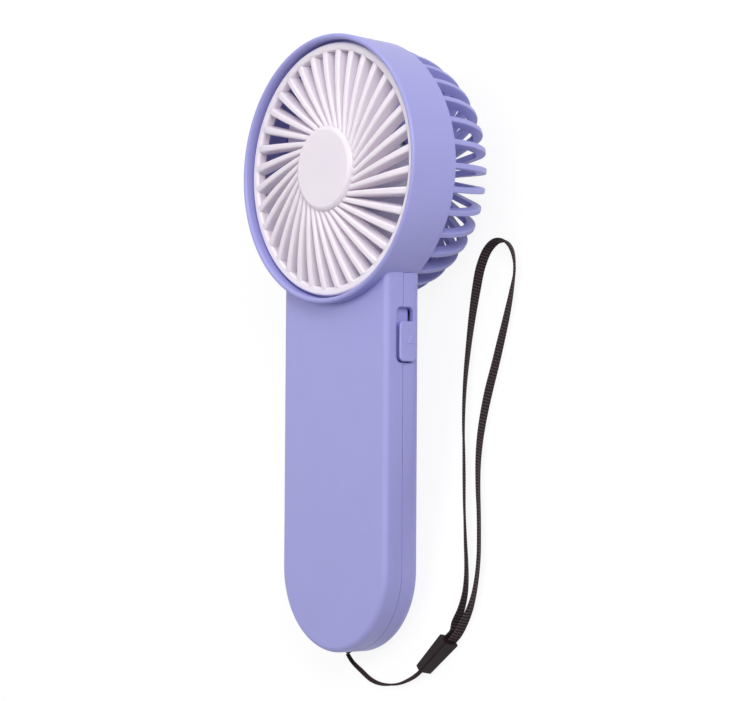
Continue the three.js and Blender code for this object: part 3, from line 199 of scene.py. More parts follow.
def drawn_metal(name, colour, deep, roughness):
    material, tree = new_material(name)
    place = add_node(tree, "ShaderNodeTexCoord")
    stretch = {"Vector": (place, "Object"), "Scale": (1.0 / STREAK_STRETCH, 1.0 / STREAK_STRETCH, 1.0)}
    at = (add_node(tree, "ShaderNodeMapping", stretch), "Vector")
    streak = add_node(tree, "ShaderNodeTexNoise", {"Vector": at, "Scale": 1 / STREAK_SIZE, "Detail": 4.0})
    low, high = roughness * (1 - STREAK_GLOSS), roughness * (1 + STREAK_GLOSS)
    look = {**tint_and_gloss(tree, streak, colour, deep, low, high), "Metallic": 1.0}
    end_material(tree, add_node(tree, "ShaderNodeBsdfPrincipled", look))
    return material


plated_steel = drawn_metal("zinc_plated_steel", "#c6c8cc", "#a9acb2", 0.3)
sintered_bronze = drawn_metal("sintered_bronze", "#b08d4a", "#96753a", 0.45)
pouch_foil = drawn_metal("laminated_pouch_foil", "#d5d7db", "#bfc2c8", 0.35)
print("plastics and metals:", len(bpy.data.materials))

# %% [markdown]
# The strap is woven nylon, dull and fuzzy. Its pattern follows the tape or the cord, so it reads the
# piece's own UV map, which is in millimetres along and across. Real cross ribs are about 0.6 mm apart,
# too fine to show here, so they are drawn 1 mm apart on the tape. Between the ribs and threads the colour
# is painted shade, and on their crests it is a painted lit tone, with a random wear tone over both.

# %% Woven nylon
def woven_nylon(name, colour, deep, rib, thread, height):
    material, tree = new_material(name)
    place = (add_node(tree, "ShaderNodeUVMap", uv_map="length_mm"), "UV")
    split = add_node(tree, "ShaderNodeSeparateXYZ", {"Vector": place})
    levels = []
    for axis, size, low in (("X", rib, 0.0), ("Y", thread, 0.5)):
        turn = add_node(tree, "ShaderNodeMath", {0: (split, axis), 1: tau / size}, operation="MULTIPLY")
        wave = add_node(tree, "ShaderNodeMath", {0: (turn, "Value")}, operation="SINE")
        span = {"Value": (wave, "Value"), "From Min": -1.0, "To Min": low}
        levels.append((add_node(tree, "ShaderNodeMapRange", span), "Result"))
    level = (add_node(tree, "ShaderNodeMath", dict(enumerate(levels)), operation="MULTIPLY"), "Value")
    fuzz = add_node(tree, "ShaderNodeTexNoise", {"Vector": place, "Scale": 3.0, "Detail": 4.0})
    wear = add_node(tree, "ShaderNodeMapRange", {"Value": (fuzz, "Fac"), "To Min": 0.4, "To Max": 1.6})
    # Painted light and shade: the tint is dark in the grooves between ribs and threads and light on their
    # crests, standing in for light on the relief; the wear noise adds a random tone.
    painted_shade_and_wear = add_node(tree, "ShaderNodeMath", {0: level, 1: (wear, "Result")}, operation="MULTIPLY")
    colours = {"Factor": (painted_shade_and_wear, "Value"), "A": srgb(deep), "B": srgb(colour)}
    tint = add_node(tree, "ShaderNodeMix", colours, data_type="RGBA")
    bump = add_node(tree, "ShaderNodeBump", {"Height": level, "Strength": 0.8, "Distance": height * MM})
    look = {
        "Base Color": (tint, "Result"),
        "Roughness": 0.85,
        "Specular IOR Level": 0.15,
        "Normal": (bump, "Normal"),
        "Sheen Weight": 0.04,
        "Sheen Roughness": 0.5,
    }
    end_material(tree, add_node(tree, "ShaderNodeBsdfPrincipled", look))
    return material


# 5a4a4e and #4a3a3e are painted lit tones of the crests, and #140c0e is the painted shade between the
# ribs.
woven_tape = woven_nylon("black_woven_nylon_tape", "#5a4a4e", "#140c0e", 1.0, 0.9, 0.12)
braided_cord = woven_nylon("black_braided_nylon_cord", "#4a3a3e", "#140c0e", 0.8, 0.5, 0.08)
print("all materials of the fan:", len(bpy.data.materials))

# %% [markdown]
# Shapes are written as bmesh code in millimetres. A turned part is a profile spun round an axis, and a
# moulded one is a stack of matching rings joined by a skin and closed by a cap at each end.

# %% Mesh helpers
POLE_RADIUS = 1e-6


def to_object(name, shape):
    mesh = bpy.data.meshes.new(name)
    shape.to_mesh(mesh)
    shape.free()
    piece = bpy.data.objects.new(name, mesh)
    bpy.context.scene.collection.objects.link(piece)
    return piece


def turned(name, profile, segments=192, closed=True):
    """Spins [radius, z] points round the z axis. A closed profile makes a ring."""
    shape = bmesh.new()
    rings = []
    for radius, z in profile:
        if radius < POLE_RADIUS:
            rings.append([shape.verts.new((0, 0, z))])
            continue
        turns = [tau * step / segments for step in range(segments)]
        rings.append([shape.verts.new((radius * cos(t), radius * sin(t), z)) for t in turns])
    pairs = list(zip(rings, rings[1:]))
    if closed:
        pairs.append((rings[-1], rings[0]))
    for lower, upper in pairs:
        for step in range(segments):
            after = (step + 1) % segments
            corners = [lower[step % len(lower)], lower[after % len(lower)]]
            corners += [upper[after % len(upper)], upper[step % len(upper)]]
            corners = list(dict.fromkeys(corners))
            if len(corners) > 2:
                shape.faces.new(corners)
    bmesh.ops.recalc_face_normals(shape, faces=shape.faces)
    return to_object(name, shape)


def skin(rings):
    """Joins matching rings of points and closes each end with a cap."""
    shape = bmesh.new()
    made = [[shape.verts.new(point) for point in ring] for ring in rings]
    shape.faces.new(made[0][::-1])
    shape.faces.new(made[-1])
    for lower, upper in zip(made, made[1:]):
        for step in range(len(lower)):
            after = (step + 1) % len(lower)
            shape.faces.new((lower[step], lower[after], upper[after], upper[step]))
    bmesh.ops.recalc_face_normals(shape, faces=shape.faces)
    return shape


def lofted(name, rings):
    return to_object(name, skin(rings))


def arc(centre, radius, start, stop, steps):
    """Points [a, b] of an arc in degrees, from start to stop."""
    points = []
    for step in range(steps + 1):
        turn = radians(start + (stop - start) * step / steps)
        points.append((centre[0] + radius * cos(turn), centre[1] + radius * sin(turn)))
    return points


def between(first, last, part):
    return first + (last - first) * part


# %% [markdown]
# Modifiers do the carving and the finish, and each is applied at once, so that what is left is a plain
# mesh. A last helper dresses a piece: smooth shading with crisp edges, its place, its material and the
# body that it rides on.

# %% Carving and finishing helpers
def baked(piece):
    """Replaces a piece's mesh by its evaluated one and clears its modifiers."""
    graph = bpy.context.evaluated_depsgraph_get()
    graph.update()
    mesh = bpy.data.meshes.new_from_object(piece.evaluated_get(graph), depsgraph=graph)
    piece.modifiers.clear()
    piece.data = mesh
    return piece


def combine(piece, tools, operation):
    """Cuts, joins or intersects a piece with each of the tools, which are used up."""
    for tool in tools:
        step = piece.modifiers.new("combine", "BOOLEAN")
        step.operation = operation
        step.solver = "EXACT"
        step.object = tool
        baked(piece)
        bpy.data.objects.remove(tool)


def soften(piece, angle, merge):
    """Merges doubles, then shades smooth with sharp edges where faces meet at more than the angle."""
    shape = bmesh.new()
    shape.from_mesh(piece.data)
    bmesh.ops.remove_doubles(shape, verts=shape.verts, dist=merge)
    for face in shape.faces:
        face.smooth = True
    for edge in shape.edges:
        edge.smooth = not (edge.is_manifold and edge.calc_face_angle() > radians(angle))
    shape.to_mesh(piece.data)
    shape.free()
    weigh = piece.modifiers.new("weigh", "WEIGHTED_NORMAL")
    weigh.keep_sharp = True
    weigh.weight = 80
    baked(piece)


def dress(piece, material, slot, node, body="housing", place=FAN_MM, angle=30.0, merge=0.002):
    """Smooths a piece, puts it in its place, gives it its finish and lets it ride on its body."""
    soften(piece, angle, merge)
    piece.data.transform(place)
    piece.data.materials.clear()
    piece.data.materials.append(material)
    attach(piece, body)
    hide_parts(node)
    print(piece.name, len(piece.data.polygons), "faces")


# %% [markdown]
# Two shapes are shared by both halves of the handle. Its outline is straight at the sides and half an
# ellipse at the tail. Each half is a tray, and one stack of rings makes it whole: up the inside, round
# the rim of the seam, and back over the outside to the rounded edge of its face.

# %% The handle's outline and its trays
HANDLE_HALF = 25.85
HANDLE_REACH = 153.8
TAIL_HEIGHT = 26.6
TAIL_Y = TAIL_HEIGHT - HANDLE_REACH
OUTLINE_TOP = -21.4
TAIL_STEPS = 96
SIDE_STEPS = 24
SHELL_WALL = 1.8
SEAM_Z = -8.8
SEAM_GAP = 0.12
SEAM_ROUND = 0.12
TONGUE_WALL = 0.7
TONGUE_HEIGHT = 0.9
TONGUE_GAP = 0.3
FACE_Z = -1.9
BACK_Z = -16.9
FRONT_EDGE = 1.8
BACK_EDGE = 4.0
EDGE_STEPS = 10


def handle_ring(inset, z):
    """The handle's outline at one height, moved inwards by the inset."""
    half = HANDLE_HALF - inset
    rise = OUTLINE_TOP - TAIL_Y
    points = [(-half, OUTLINE_TOP - rise * step / SIDE_STEPS, z) for step in range(SIDE_STEPS)]
    for x, y in arc((0, 0), 1.0, 180, 360, TAIL_STEPS):
        points.append((x * half, TAIL_Y + y * (TAIL_HEIGHT - inset), z))
    return points + [(half, TAIL_Y + rise * (step + 1) / SIDE_STEPS, z) for step in range(SIDE_STEPS)]


def edge_rings(face_z, edge, inset, steps=EDGE_STEPS):
    """Rings round a rounded edge, from the side wall to the face."""
    forward = copysign(1, face_z - SEAM_Z)
    centre = (edge, face_z - forward * edge)
    return [handle_ring(inset + a, b) for a, b in arc(centre, edge, 180, 180 - forward * 90, steps)]


def handle_tray(name, face_z, edge, rim_inset, rim_height):
    """One half of the handle. Its rim has a step at the inset, up to the height: a tongue or a groove."""
    forward = copysign(1, face_z - SEAM_Z)
    rim_z = SEAM_Z + forward * SEAM_GAP / 2
    rim = [(SHELL_WALL, SEAM_Z + rim_height), (rim_inset, SEAM_Z + rim_height), (rim_inset, rim_z)]
    rim += [(SEAM_ROUND, rim_z), (SEAM_ROUND / 4, rim_z + forward * SEAM_ROUND / 4)]
    rim += [(0, rim_z + forward * SEAM_ROUND)]
    inner_edge = max(edge - SHELL_WALL, SHELL_WALL / 4)
    inside = edge_rings(face_z - forward * SHELL_WALL, inner_edge, SHELL_WALL, 4)
    rim_rings = [handle_ring(inset, z) for inset, z in rim]
    return lofted(name, inside[::-1] + rim_rings + edge_rings(face_z, edge, 0))


def drills(places, radius, low, high, segments=48):
    """A round tool at each of the places."""
    tools = []
    for x, y in places:
        rod = [(0, low), (radius, low), (radius, high), (0, high)]
        tools.append(turned("drill", rod, segments, closed=False))
        tools[-1].data.transform(Matrix.Translation((x, y, 0)))
    return tools


print("points round the handle:", len(handle_ring(0, 0)))

# %% [markdown]
# Two openings cross the seam, so both halves are cut by the same tools: the slot of the slider on the
# right and the mouth of the charging socket on the left. Each flares a little at the surface, as
# moulded openings do.

# %% Openings in the side walls
SLOT_Y = -53.5
SLOT_LENGTH = 17.4
SLOT_WIDTH = 6.9
SLOT_CORNER = 1.9
SOCKET_Y = -60.1
SOCKET_LENGTH = 9.5
SOCKET_WIDTH = 3.8
FLARE = 0.25
OPENING_Z = -9.7
TOOL_REACH = 8.0


def rounded_rectangle(length, width, corner, steps=10):
    """Points [along y, along z] of a rounded rectangle."""
    y, z = length / 2 - corner, width / 2 - corner
    points = []
    for centre, start in (((y, z), 0), ((-y, z), 90), ((-y, -z), 180), ((y, -z), 270)):
        points += arc(centre, corner, start, start + 90, steps)
    return points


def side_tool(side, y, length, width, corner):
    rings = []
    for x, grow in ((-TOOL_REACH / 2, 0), (-FLARE, 0), (0, FLARE), (TOOL_REACH, FLARE)):
        outline = rounded_rectangle(length + 2 * grow, width + 2 * grow, corner + grow)
        rings.append([(side * (HANDLE_HALF + x), y + a, OPENING_Z + b) for a, b in outline])
    return lofted("side_tool", rings)


def side_tools():
    return [
        side_tool(1, SLOT_Y, SLOT_LENGTH, SLOT_WIDTH, SLOT_CORNER),
        side_tool(-1, SOCKET_Y, SOCKET_LENGTH, SOCKET_WIDTH, SOCKET_WIDTH / 2 - FLARE),
    ]


print("slot and mouth in mm:", (SLOT_LENGTH, SLOT_WIDTH), (SOCKET_LENGTH, SOCKET_WIDTH))

# %% [markdown]
# The front shell is one moulding: the tall ring of the head, with its rounded lip and the pocket of
# the grille, and the front half of the handle growing out of its side. The ring is turned, the tray is
# lofted, and a boolean join gives the crisp inner corner where they meet.

# %% Front shell
HEAD_RADIUS = 43.1
HEAD_REAR_RADIUS = 42.3
HEAD_DEPTH = 15.4
LIP_TOP = 2.3
LIP_HEIGHT = 1.0
LIP_WIDTH = 1.75
POCKET_RADIUS = HEAD_RADIUS - LIP_WIDTH
LEDGE_Z = -3.5
DUCT_RADIUS = 39.6
REBATE_RADIUS = 40.5
REBATE_Z = -11.6
CORNER = 0.3
CUT_REACH = 30

head_profile = arc((HEAD_REAR_RADIUS - CORNER, -HEAD_DEPTH + CORNER), CORNER, -90, 0, 4)
for a, b in arc((0, 0), 1.0, 0, 180, 16):
    lip_radius = HEAD_RADIUS - LIP_WIDTH / 2 + a * LIP_WIDTH / 2
    head_profile.append((lip_radius, LIP_TOP - LIP_HEIGHT + b * LIP_HEIGHT))
head_profile += [(POCKET_RADIUS, LEDGE_Z), (DUCT_RADIUS, LEDGE_Z), (DUCT_RADIUS, REBATE_Z)]
head_profile += [(REBATE_RADIUS, REBATE_Z), (REBATE_RADIUS, -HEAD_DEPTH)]

groove = (SHELL_WALL - TONGUE_WALL - TONGUE_GAP, TONGUE_HEIGHT + TONGUE_GAP)
front_shell = handle_tray("front_shell_moulding", FACE_Z, FRONT_EDGE, *groove)
head_cut = drills([(0, 0)], (POCKET_RADIUS + HEAD_REAR_RADIUS) / 2, -CUT_REACH, CUT_REACH, 192)
combine(front_shell, head_cut, "DIFFERENCE")
combine(front_shell, [turned("head_ring", head_profile, 256)], "UNION")
combine(front_shell, side_tools(), "DIFFERENCE")
dress(front_shell, lavender_abs, "shell", "front_shell")

# %% [markdown]
# The rear shell is the other tray. Its back edge is much rounder, its top end is a wall that follows
# the head, four screws go into counterbores, and two small holes in the tail make the lanyard eye.

# %% The lanyard eye
EYE_X = -5.0
EYE_Z = -12.6
EYE_BAR = 2.4
EYE_HOLE = 2.2
EYE_CORNER = 0.7
EYE_REACH = 4

share = EYE_X / HANDLE_HALF
eye_angle = atan((TAIL_HEIGHT / HANDLE_HALF) * share / sqrt(1 - share * share))
eye_out = Vector((sin(eye_angle), -cos(eye_angle), 0))
eye_edge_y = TAIL_Y - TAIL_HEIGHT * sqrt(1 - share * share)
eye_middle = Vector((EYE_X, eye_edge_y, EYE_Z)) - eye_out * SHELL_WALL / 2
EYE_FRAME = Matrix.Translation(eye_middle) @ Matrix.Rotation(eye_angle, 4, "Z")


def eye_tool(side):
    outline = rounded_rectangle(EYE_HOLE, EYE_HOLE, EYE_CORNER, 5)
    shift = side * (EYE_BAR + EYE_HOLE) / 2
    tool = lofted("eye_tool", [[(shift + a, y, b) for a, b in outline] for y in (-EYE_REACH, EYE_REACH)])
    tool.data.transform(EYE_FRAME)
    return tool


print("the eye's turn in degrees:", round(degrees(eye_angle), 1))

# %% Rear shell
END_GAP = 0.15
END_INSET = 0.9
END_OVERLAP = 1
SCREW_PLACES = [(-9.2, -46.0), (9.2, -46.0), (-14.0, -135.4), (14.0, -135.4)]
SCREW_SEAT_Z = -11.1
COUNTERBORE_RADIUS = 2.2
BORE_REACH = 5
TOWER_WALL = 1.2
TOWER_FOOT = 0.9
TOWER_GAP = 0.5


def head_radius(z):
    taper = (HEAD_RADIUS - HEAD_REAR_RADIUS) / (HEAD_DEPTH + LIP_TOP - LIP_HEIGHT)
    return HEAD_REAR_RADIUS + (z + HEAD_DEPTH) * taper


end_top, end_low = SEAM_Z - SEAM_GAP, BACK_Z - END_OVERLAP
end_inner, end_outer = head_radius(SEAM_Z) - END_OVERLAP, head_radius(SEAM_Z) + SHELL_WALL
end_ring = [(end_inner, end_low), (end_outer, end_low), (end_outer, end_top), (end_inner, end_top)]
end_wall = turned("end_wall", end_ring, 256)
inner_rings = edge_rings(BACK_Z + END_INSET, BACK_EDGE - END_INSET, END_INSET)
combine(end_wall, [lofted("inner_back", [handle_ring(END_INSET, end_top)] + inner_rings)], "INTERSECT")

tongue = (SHELL_WALL - TONGUE_WALL, TONGUE_HEIGHT)
rear_shell = handle_tray("rear_shell_moulding", BACK_Z, BACK_EDGE, *tongue)
combine(rear_shell, [end_wall], "UNION")
head_room = [(0, -CUT_REACH)] + [(head_radius(z) + END_GAP, z) for z in (-CUT_REACH, 0)] + [(0, 0)]
combine(rear_shell, [turned("head_room", head_room, 256, closed=False)], "DIFFERENCE")
combine(rear_shell, [*side_tools(), eye_tool(-1), eye_tool(1)], "DIFFERENCE")
tower_radius = COUNTERBORE_RADIUS + TOWER_WALL
combine(rear_shell, drills(SCREW_PLACES, tower_radius, BACK_Z + TOWER_FOOT, SEAM_Z - TOWER_GAP), "UNION")
bores = drills(SCREW_PLACES, COUNTERBORE_RADIUS, BACK_Z - BORE_REACH, SCREW_SEAT_Z)
combine(rear_shell, bores, "DIFFERENCE")
dress(rear_shell, lavender_abs, "shell", "rear_shell")

# %% [markdown]
# The vanes of the grille, the ribs of the cage and the blades of the impeller each repeat one shape. A
# Geometry Nodes tree lays the copies round the axis: it makes a point for each copy, turns an instance
# at each by its own angle, leaves out those inside a gap, and realises them, because an export drops
# instances.

# %% A Geometry Nodes tree that repeats a shape round the axis
def round_axis_tree():
    tree = bpy.data.node_groups.new("repeat_round_axis", "GeometryNodeTree")
    kinds = {"Geometry": "Geometry", "Count": "Int", "Material": "Material"}
    for name in ("Geometry", "Count", "Pitch", "Phase", "Gap Angle", "Gap Half Width", "Material"):
        kind = "NodeSocket" + kinds.get(name, "Float")
        tree.interface.new_socket(name, in_out="INPUT", socket_type=kind)
    tree.interface.new_socket("Geometry", in_out="OUTPUT", socket_type="NodeSocketGeometry")
    given = add_node(tree, "NodeGroupInput")
    index = add_node(tree, "GeometryNodeInputIndex")
    turn = add_node(tree, "ShaderNodeMath", {0: (index, 0), 1: (given, "Pitch")}, operation="MULTIPLY")
    angle = add_node(tree, "ShaderNodeMath", {0: (turn, 0), 1: (given, "Phase")}, operation="ADD")
    away = add_node(tree, "ShaderNodeMath", {0: (angle, 0), 1: (given, "Gap Angle")}, operation="SUBTRACT")
    distance = add_node(tree, "ShaderNodeMath", {0: (away, 0)}, operation="ABSOLUTE")
    limit = {0: (distance, 0), 1: (given, "Gap Half Width")}
    kept = add_node(tree, "FunctionNodeCompare", limit, data_type="FLOAT", operation="GREATER_THAN")
    euler = add_node(tree, "ShaderNodeCombineXYZ", {"Z": (angle, 0)})
    points = add_node(tree, "GeometryNodeMeshLine", {"Count": (given, "Count"), "Offset": (0, 0, 0)})
    laid = {
        "Points": (points, "Mesh"),
        "Selection": (kept, "Result"),
        "Instance": (given, "Geometry"),
        "Rotation": (euler, "Vector"),
    }
    copies = add_node(tree, "GeometryNodeInstanceOnPoints", laid)
    real = add_node(tree, "GeometryNodeRealizeInstances", {"Geometry": (copies, "Instances")})
    finish = {"Geometry": (real, "Geometry"), "Material": (given, "Material")}
    finished = add_node(tree, "GeometryNodeSetMaterial", finish)
    add_node(tree, "NodeGroupOutput", {"Geometry": (finished, "Geometry")})
    return tree


REPEAT_TREE = round_axis_tree()


def repeated(piece, material, **values):
    """Runs the tree on a piece with its named inputs and returns the plain mesh object."""
    step = piece.modifiers.new("repeat", "NODES")
    step.node_group = REPEAT_TREE
    settings = {"Gap Half Width": -1.0, "Gap Angle": 0.0, "Phase": 0.0, "Material": material}
    settings.update({name.replace("_", " ").title(): value for name, value in values.items()})
    for socket in REPEAT_TREE.interface.items_tree:
        if socket.in_out == "INPUT" and socket.name in settings:
            step[socket.identifier] = settings[socket.name]
    return baked(piece)


def merged(name, pieces):
    """Joins finished meshes into a new piece."""
    shape = bmesh.new()
    for piece in pieces:
        shape.from_mesh(piece.data)
        bpy.data.objects.remove(piece)
    return to_object(name, shape)


print("nodes in the tree:", len(REPEAT_TREE.nodes))

# %% [markdown]
# The front grille takes the most care. Its 36 vanes are straight in plan, but tangent to a small
# circle round the axis, which makes the swirl. Each gets narrower and rises in a dome towards the
# disc. Its two top edges are rounded and its sides widen to the foot, the draft that lets it leave the
# mould. One vane is lofted along its length and then repeated.

# %% Front grille
GRILLE_RADIUS = 40.5
RING_INNER_RADIUS = 37.8
GRILLE_DEPTH = 3.2
DISC_RADIUS = 13.9
DISC_RISE = 3.2
DISC_EDGE = 1.9
DISC_WALL = 1.6
VANE_COUNT = 36
VANE_PHASE = radians(5.3)
VANE_OFFSET = 8.5
VANE_WIDTHS = (1.6, 2.5)
VANE_DEPTH = 4.0
VANE_RISE = 2.2
VANE_DROP = 0.1
VANE_OVERLAP = 0.6
CROWN_POWER = 2.5
VANE_EDGE = 0.72
VANE_DRAFT = 0.35
RING_EDGE = 0.8
FOOT_ROUND = 0.2
VANE_STEPS = 20


def bar_section(half, top, bottom, round_top, round_foot, steps=5, draft=0.0):
    """Points [across, up] of a bar's section with rounded edges. Its foot is wider by the draft."""
    foot = half + draft
    points = arc((half - round_top, top - round_top), round_top, 0, 90, steps)
    points += arc((-half + round_top, top - round_top), round_top, 90, 180, steps)
    points += arc((-foot + round_foot, bottom + round_foot), round_foot, 180, 270, 2)
    return points + arc((foot - round_foot, bottom + round_foot), round_foot, 270, 360, 2)


def vane_shape():
    inner = sqrt((DISC_RADIUS - DISC_WALL / 2) ** 2 - VANE_OFFSET**2)
    outer = sqrt((RING_INNER_RADIUS + VANE_OVERLAP) ** 2 - VANE_OFFSET**2)
    start = asin(VANE_OFFSET / RING_INNER_RADIUS)
    rings = []
    for step in range(VANE_STEPS + 1):
        part = step / VANE_STEPS
        top = VANE_RISE * (1 - part**CROWN_POWER) - VANE_DROP
        half = between(*VANE_WIDTHS, part) / 2
        section = bar_section(half, top, top - VANE_DEPTH, VANE_EDGE, FOOT_ROUND, draft=VANE_DRAFT)
        rings.append([(between(inner, outer, part), a - VANE_OFFSET, b) for a, b in section])
    vane = lofted("vane", rings)
    vane.data.transform(Matrix.Rotation(start + VANE_PHASE, 4, "Z"))
    return vane


ring_half = (GRILLE_RADIUS - RING_INNER_RADIUS) / 2
ring_middle = (GRILLE_RADIUS + RING_INNER_RADIUS) / 2
ring_section = bar_section(ring_half, 0, -GRILLE_DEPTH, RING_EDGE, FOOT_ROUND, 8)
grille_ring = turned("ring", [(ring_middle + a, b) for a, b in ring_section], 256)
disc_skirt = DISC_RISE - DISC_EDGE - GRILLE_DEPTH
disc_profile = [(0, DISC_RISE)]
disc_profile += arc((DISC_RADIUS - DISC_EDGE, DISC_RISE - DISC_EDGE), DISC_EDGE, 90, 0, 12)
disc_profile += [(DISC_RADIUS, disc_skirt), (DISC_RADIUS - DISC_WALL, disc_skirt)]
disc_profile += [(DISC_RADIUS - DISC_WALL, DISC_RISE - DISC_WALL), (0, DISC_RISE - DISC_WALL)]
grille_disc = turned("disc", disc_profile, 192, closed=False)
vanes = repeated(vane_shape(), white_abs, count=VANE_COUNT, pitch=tau / VANE_COUNT)
front_grille = merged("front_grille_moulding", [grille_ring, grille_disc, vanes])
dress(front_grille, white_abs, "grille", "front_grille", merge=0.0005)

# %% [markdown]
# The rear cage is a basket of 34 ribs, less two where the channel of the motor's leads runs. A rib
# follows a quarter of an ellipse from the base ring to the flat back, and its outer edges are
# rounded. The channel is three such bars side by side.

# %% The ribs of the cage
CAGE_RADIUS = 41.2
CAGE_DEPTH = 23.7
CAGE_CORNER = 13.2
CAGE_BACK_Z = -HEAD_DEPTH - CAGE_DEPTH
RIB_COUNT = 34
RIB_WIDTH = 1.9
RIB_DEPTH = 3.3
RIB_EDGE = 0.45
RIB_FOOT_ROUND = 0.15
RIB_PHASE = radians(-1.35)
RIB_GAP = 0.75
RIB_STEPS = 30
FLANGE_Z = -17.0
FLANGE_THICKNESS = 1.3
TROUGH_WIDTH = 6.0
TROUGH_WALL = 1.2
TROUGH_EDGE = 0.3
CUP_INNER_RADIUS = 12.3
CUP_WALL = 1.6


def rib_path():
    """Places [radius, z, normal] along the cage's outline."""
    places = []
    first = asin((-HEAD_DEPTH - FLANGE_Z - FLANGE_THICKNESS / 2) / CAGE_DEPTH)
    for step in range(RIB_STEPS + 1):
        turn = first + (pi / 2 - first) * step / RIB_STEPS
        normal = Vector((cos(turn) / CAGE_CORNER, -sin(turn) / CAGE_DEPTH)).normalized()
        radius = CAGE_RADIUS - CAGE_CORNER * (1 - cos(turn))
        places.append((radius, -HEAD_DEPTH - CAGE_DEPTH * sin(turn), normal))
    places.append((CUP_INNER_RADIUS + CUP_WALL / 2, CAGE_BACK_Z, Vector((0, -1))))
    return places


def rib_shape(width, depth, edge, shift=0.0):
    section = bar_section(width / 2, 0, -depth, edge, RIB_FOOT_ROUND, 4)
    rings = []
    for radius, z, normal in rib_path():
        rings.append([(radius + normal.x * b, shift + a, z + normal.y * b) for a, b in section])
    return lofted("rib", rings)


pitch = tau / RIB_COUNT
ribs = repeated(
    rib_shape(RIB_WIDTH, RIB_DEPTH, RIB_EDGE),
    lavender_abs,
    count=RIB_COUNT,
    pitch=pitch,
    phase=RIB_PHASE,
    gap_angle=pi * 1.5,
    gap_half_width=pitch * RIB_GAP,
)
trough_side = (TROUGH_WIDTH - TROUGH_WALL) / 2
bars = [rib_shape(TROUGH_WALL, RIB_DEPTH, TROUGH_EDGE, shift) for shift in (-trough_side, trough_side)]
trough = merged("trough", [*bars, rib_shape(TROUGH_WIDTH, TROUGH_WALL, TROUGH_EDGE)])
trough.data.transform(Matrix.Rotation(-pi / 2, 4, "Z"))
print("faces of the ribs:", len(ribs.data.polygons))

# %% [markdown]
# The base ring, whose spigot goes up into the head, and the cup that holds the motor are turned. Two
# screws go through the cup's floor.

# %% The base ring and the cup of the cage
SPIGOT_RADIUS = 40.2
SPIGOT_WALL = 1.5
SPIGOT_TOP = -11.9
CUP_FLOOR = 2.4
CUP_DEPTH = 14.0
MOTOR_SCREWS = [(-6.0, 0.0), (6.0, 0.0)]
MOTOR_SCREW_SEAT = CAGE_BACK_Z + 1.5

spigot_inner = SPIGOT_RADIUS - SPIGOT_WALL
flange_top = FLANGE_Z + FLANGE_THICKNESS
base_profile = [(spigot_inner, FLANGE_Z)]
base_profile += arc((CAGE_RADIUS - CORNER, FLANGE_Z + CORNER), CORNER, -90, 0, 4)
base_profile += arc((CAGE_RADIUS - CORNER, flange_top - CORNER), CORNER, 0, 90, 4)
base_profile += [(SPIGOT_RADIUS, flange_top), (SPIGOT_RADIUS, SPIGOT_TOP), (spigot_inner, SPIGOT_TOP)]
cup_outer = CUP_INNER_RADIUS + CUP_WALL
cup_rim = CAGE_BACK_Z + CUP_DEPTH
cup_profile = [(0, CAGE_BACK_Z)]
cup_profile += arc((cup_outer - CORNER, CAGE_BACK_Z + CORNER), CORNER, -90, 0, 4)
cup_profile += [(cup_outer, cup_rim), (CUP_INNER_RADIUS, cup_rim)]
cup_profile += [(CUP_INNER_RADIUS, CAGE_BACK_Z + CUP_FLOOR), (0, CAGE_BACK_Z + CUP_FLOOR)]
cup = turned("cup", cup_profile, 128, closed=False)
bores = drills(MOTOR_SCREWS, COUNTERBORE_RADIUS, CAGE_BACK_Z - BORE_REACH, MOTOR_SCREW_SEAT)
combine(cup, bores, "DIFFERENCE")
rear_cage = merged("rear_cage_moulding", [turned("base", base_profile, 256), cup, ribs, trough])
dress(rear_cage, lavender_abs, "shell", "rear_cage", merge=0.0005)

# %% [markdown]
# The impeller shows through both grilles. Its seven blades are swept back and twisted, thin at the
# edges and a little cambered. One blade is a closed skin over a grid, and the tree repeats it.

# %% Impeller
HUB_FACE_Z = -6.4
HUB_RADIUS = 14.3
HUB_EDGE = 2.5
HUB_DEPTH = 12.5
HUB_INNER_RADIUS = 12.9
HUB_WALL = 1.4
SLEEVE_RADIUS = 3.0
SLEEVE_DEPTH = 7.0
SHAFT_BORE = 1.1
BLADE_COUNT = 7
BLADE_RADIUS = 35.5
BLADE_SWEEP = radians(42)
BLADE_LEAN = radians(14)
BLADE_DEPTH = 10.5
BLADE_THICKNESS = 1.3
BLADE_THIN = 0.25
BLADE_ROWS = 22
CHORD_POINTS = 18


def blade_shape():
    root = HUB_RADIUS - HUB_WALL / 2
    steps = range(CHORD_POINTS + 1)
    chords = [(side, side * (0.5 - step / CHORD_POINTS)) for side in (1, -1) for step in steps]
    rings = []
    for row in range(BLADE_ROWS + 1):
        part = row / BLADE_ROWS
        radius = between(root, BLADE_RADIUS, part)
        ring = []
        for side, chord in chords:
            swell = cos(chord * pi) ** 0.5 if abs(chord) < 0.5 else 0.0
            thick = BLADE_THICKNESS / 2 * (BLADE_THIN + (1 - BLADE_THIN) * swell)
            turn = BLADE_LEAN * part + BLADE_SWEEP * chord
            camber = cos(chord * pi) * BLADE_THICKNESS
            z = HUB_FACE_Z - HUB_EDGE / 2 - BLADE_DEPTH * (chord + 0.5) + camber + side * thick
            ring.append((radius * cos(turn), radius * sin(turn), z))
        rings.append(ring)
    return lofted("blade", rings)


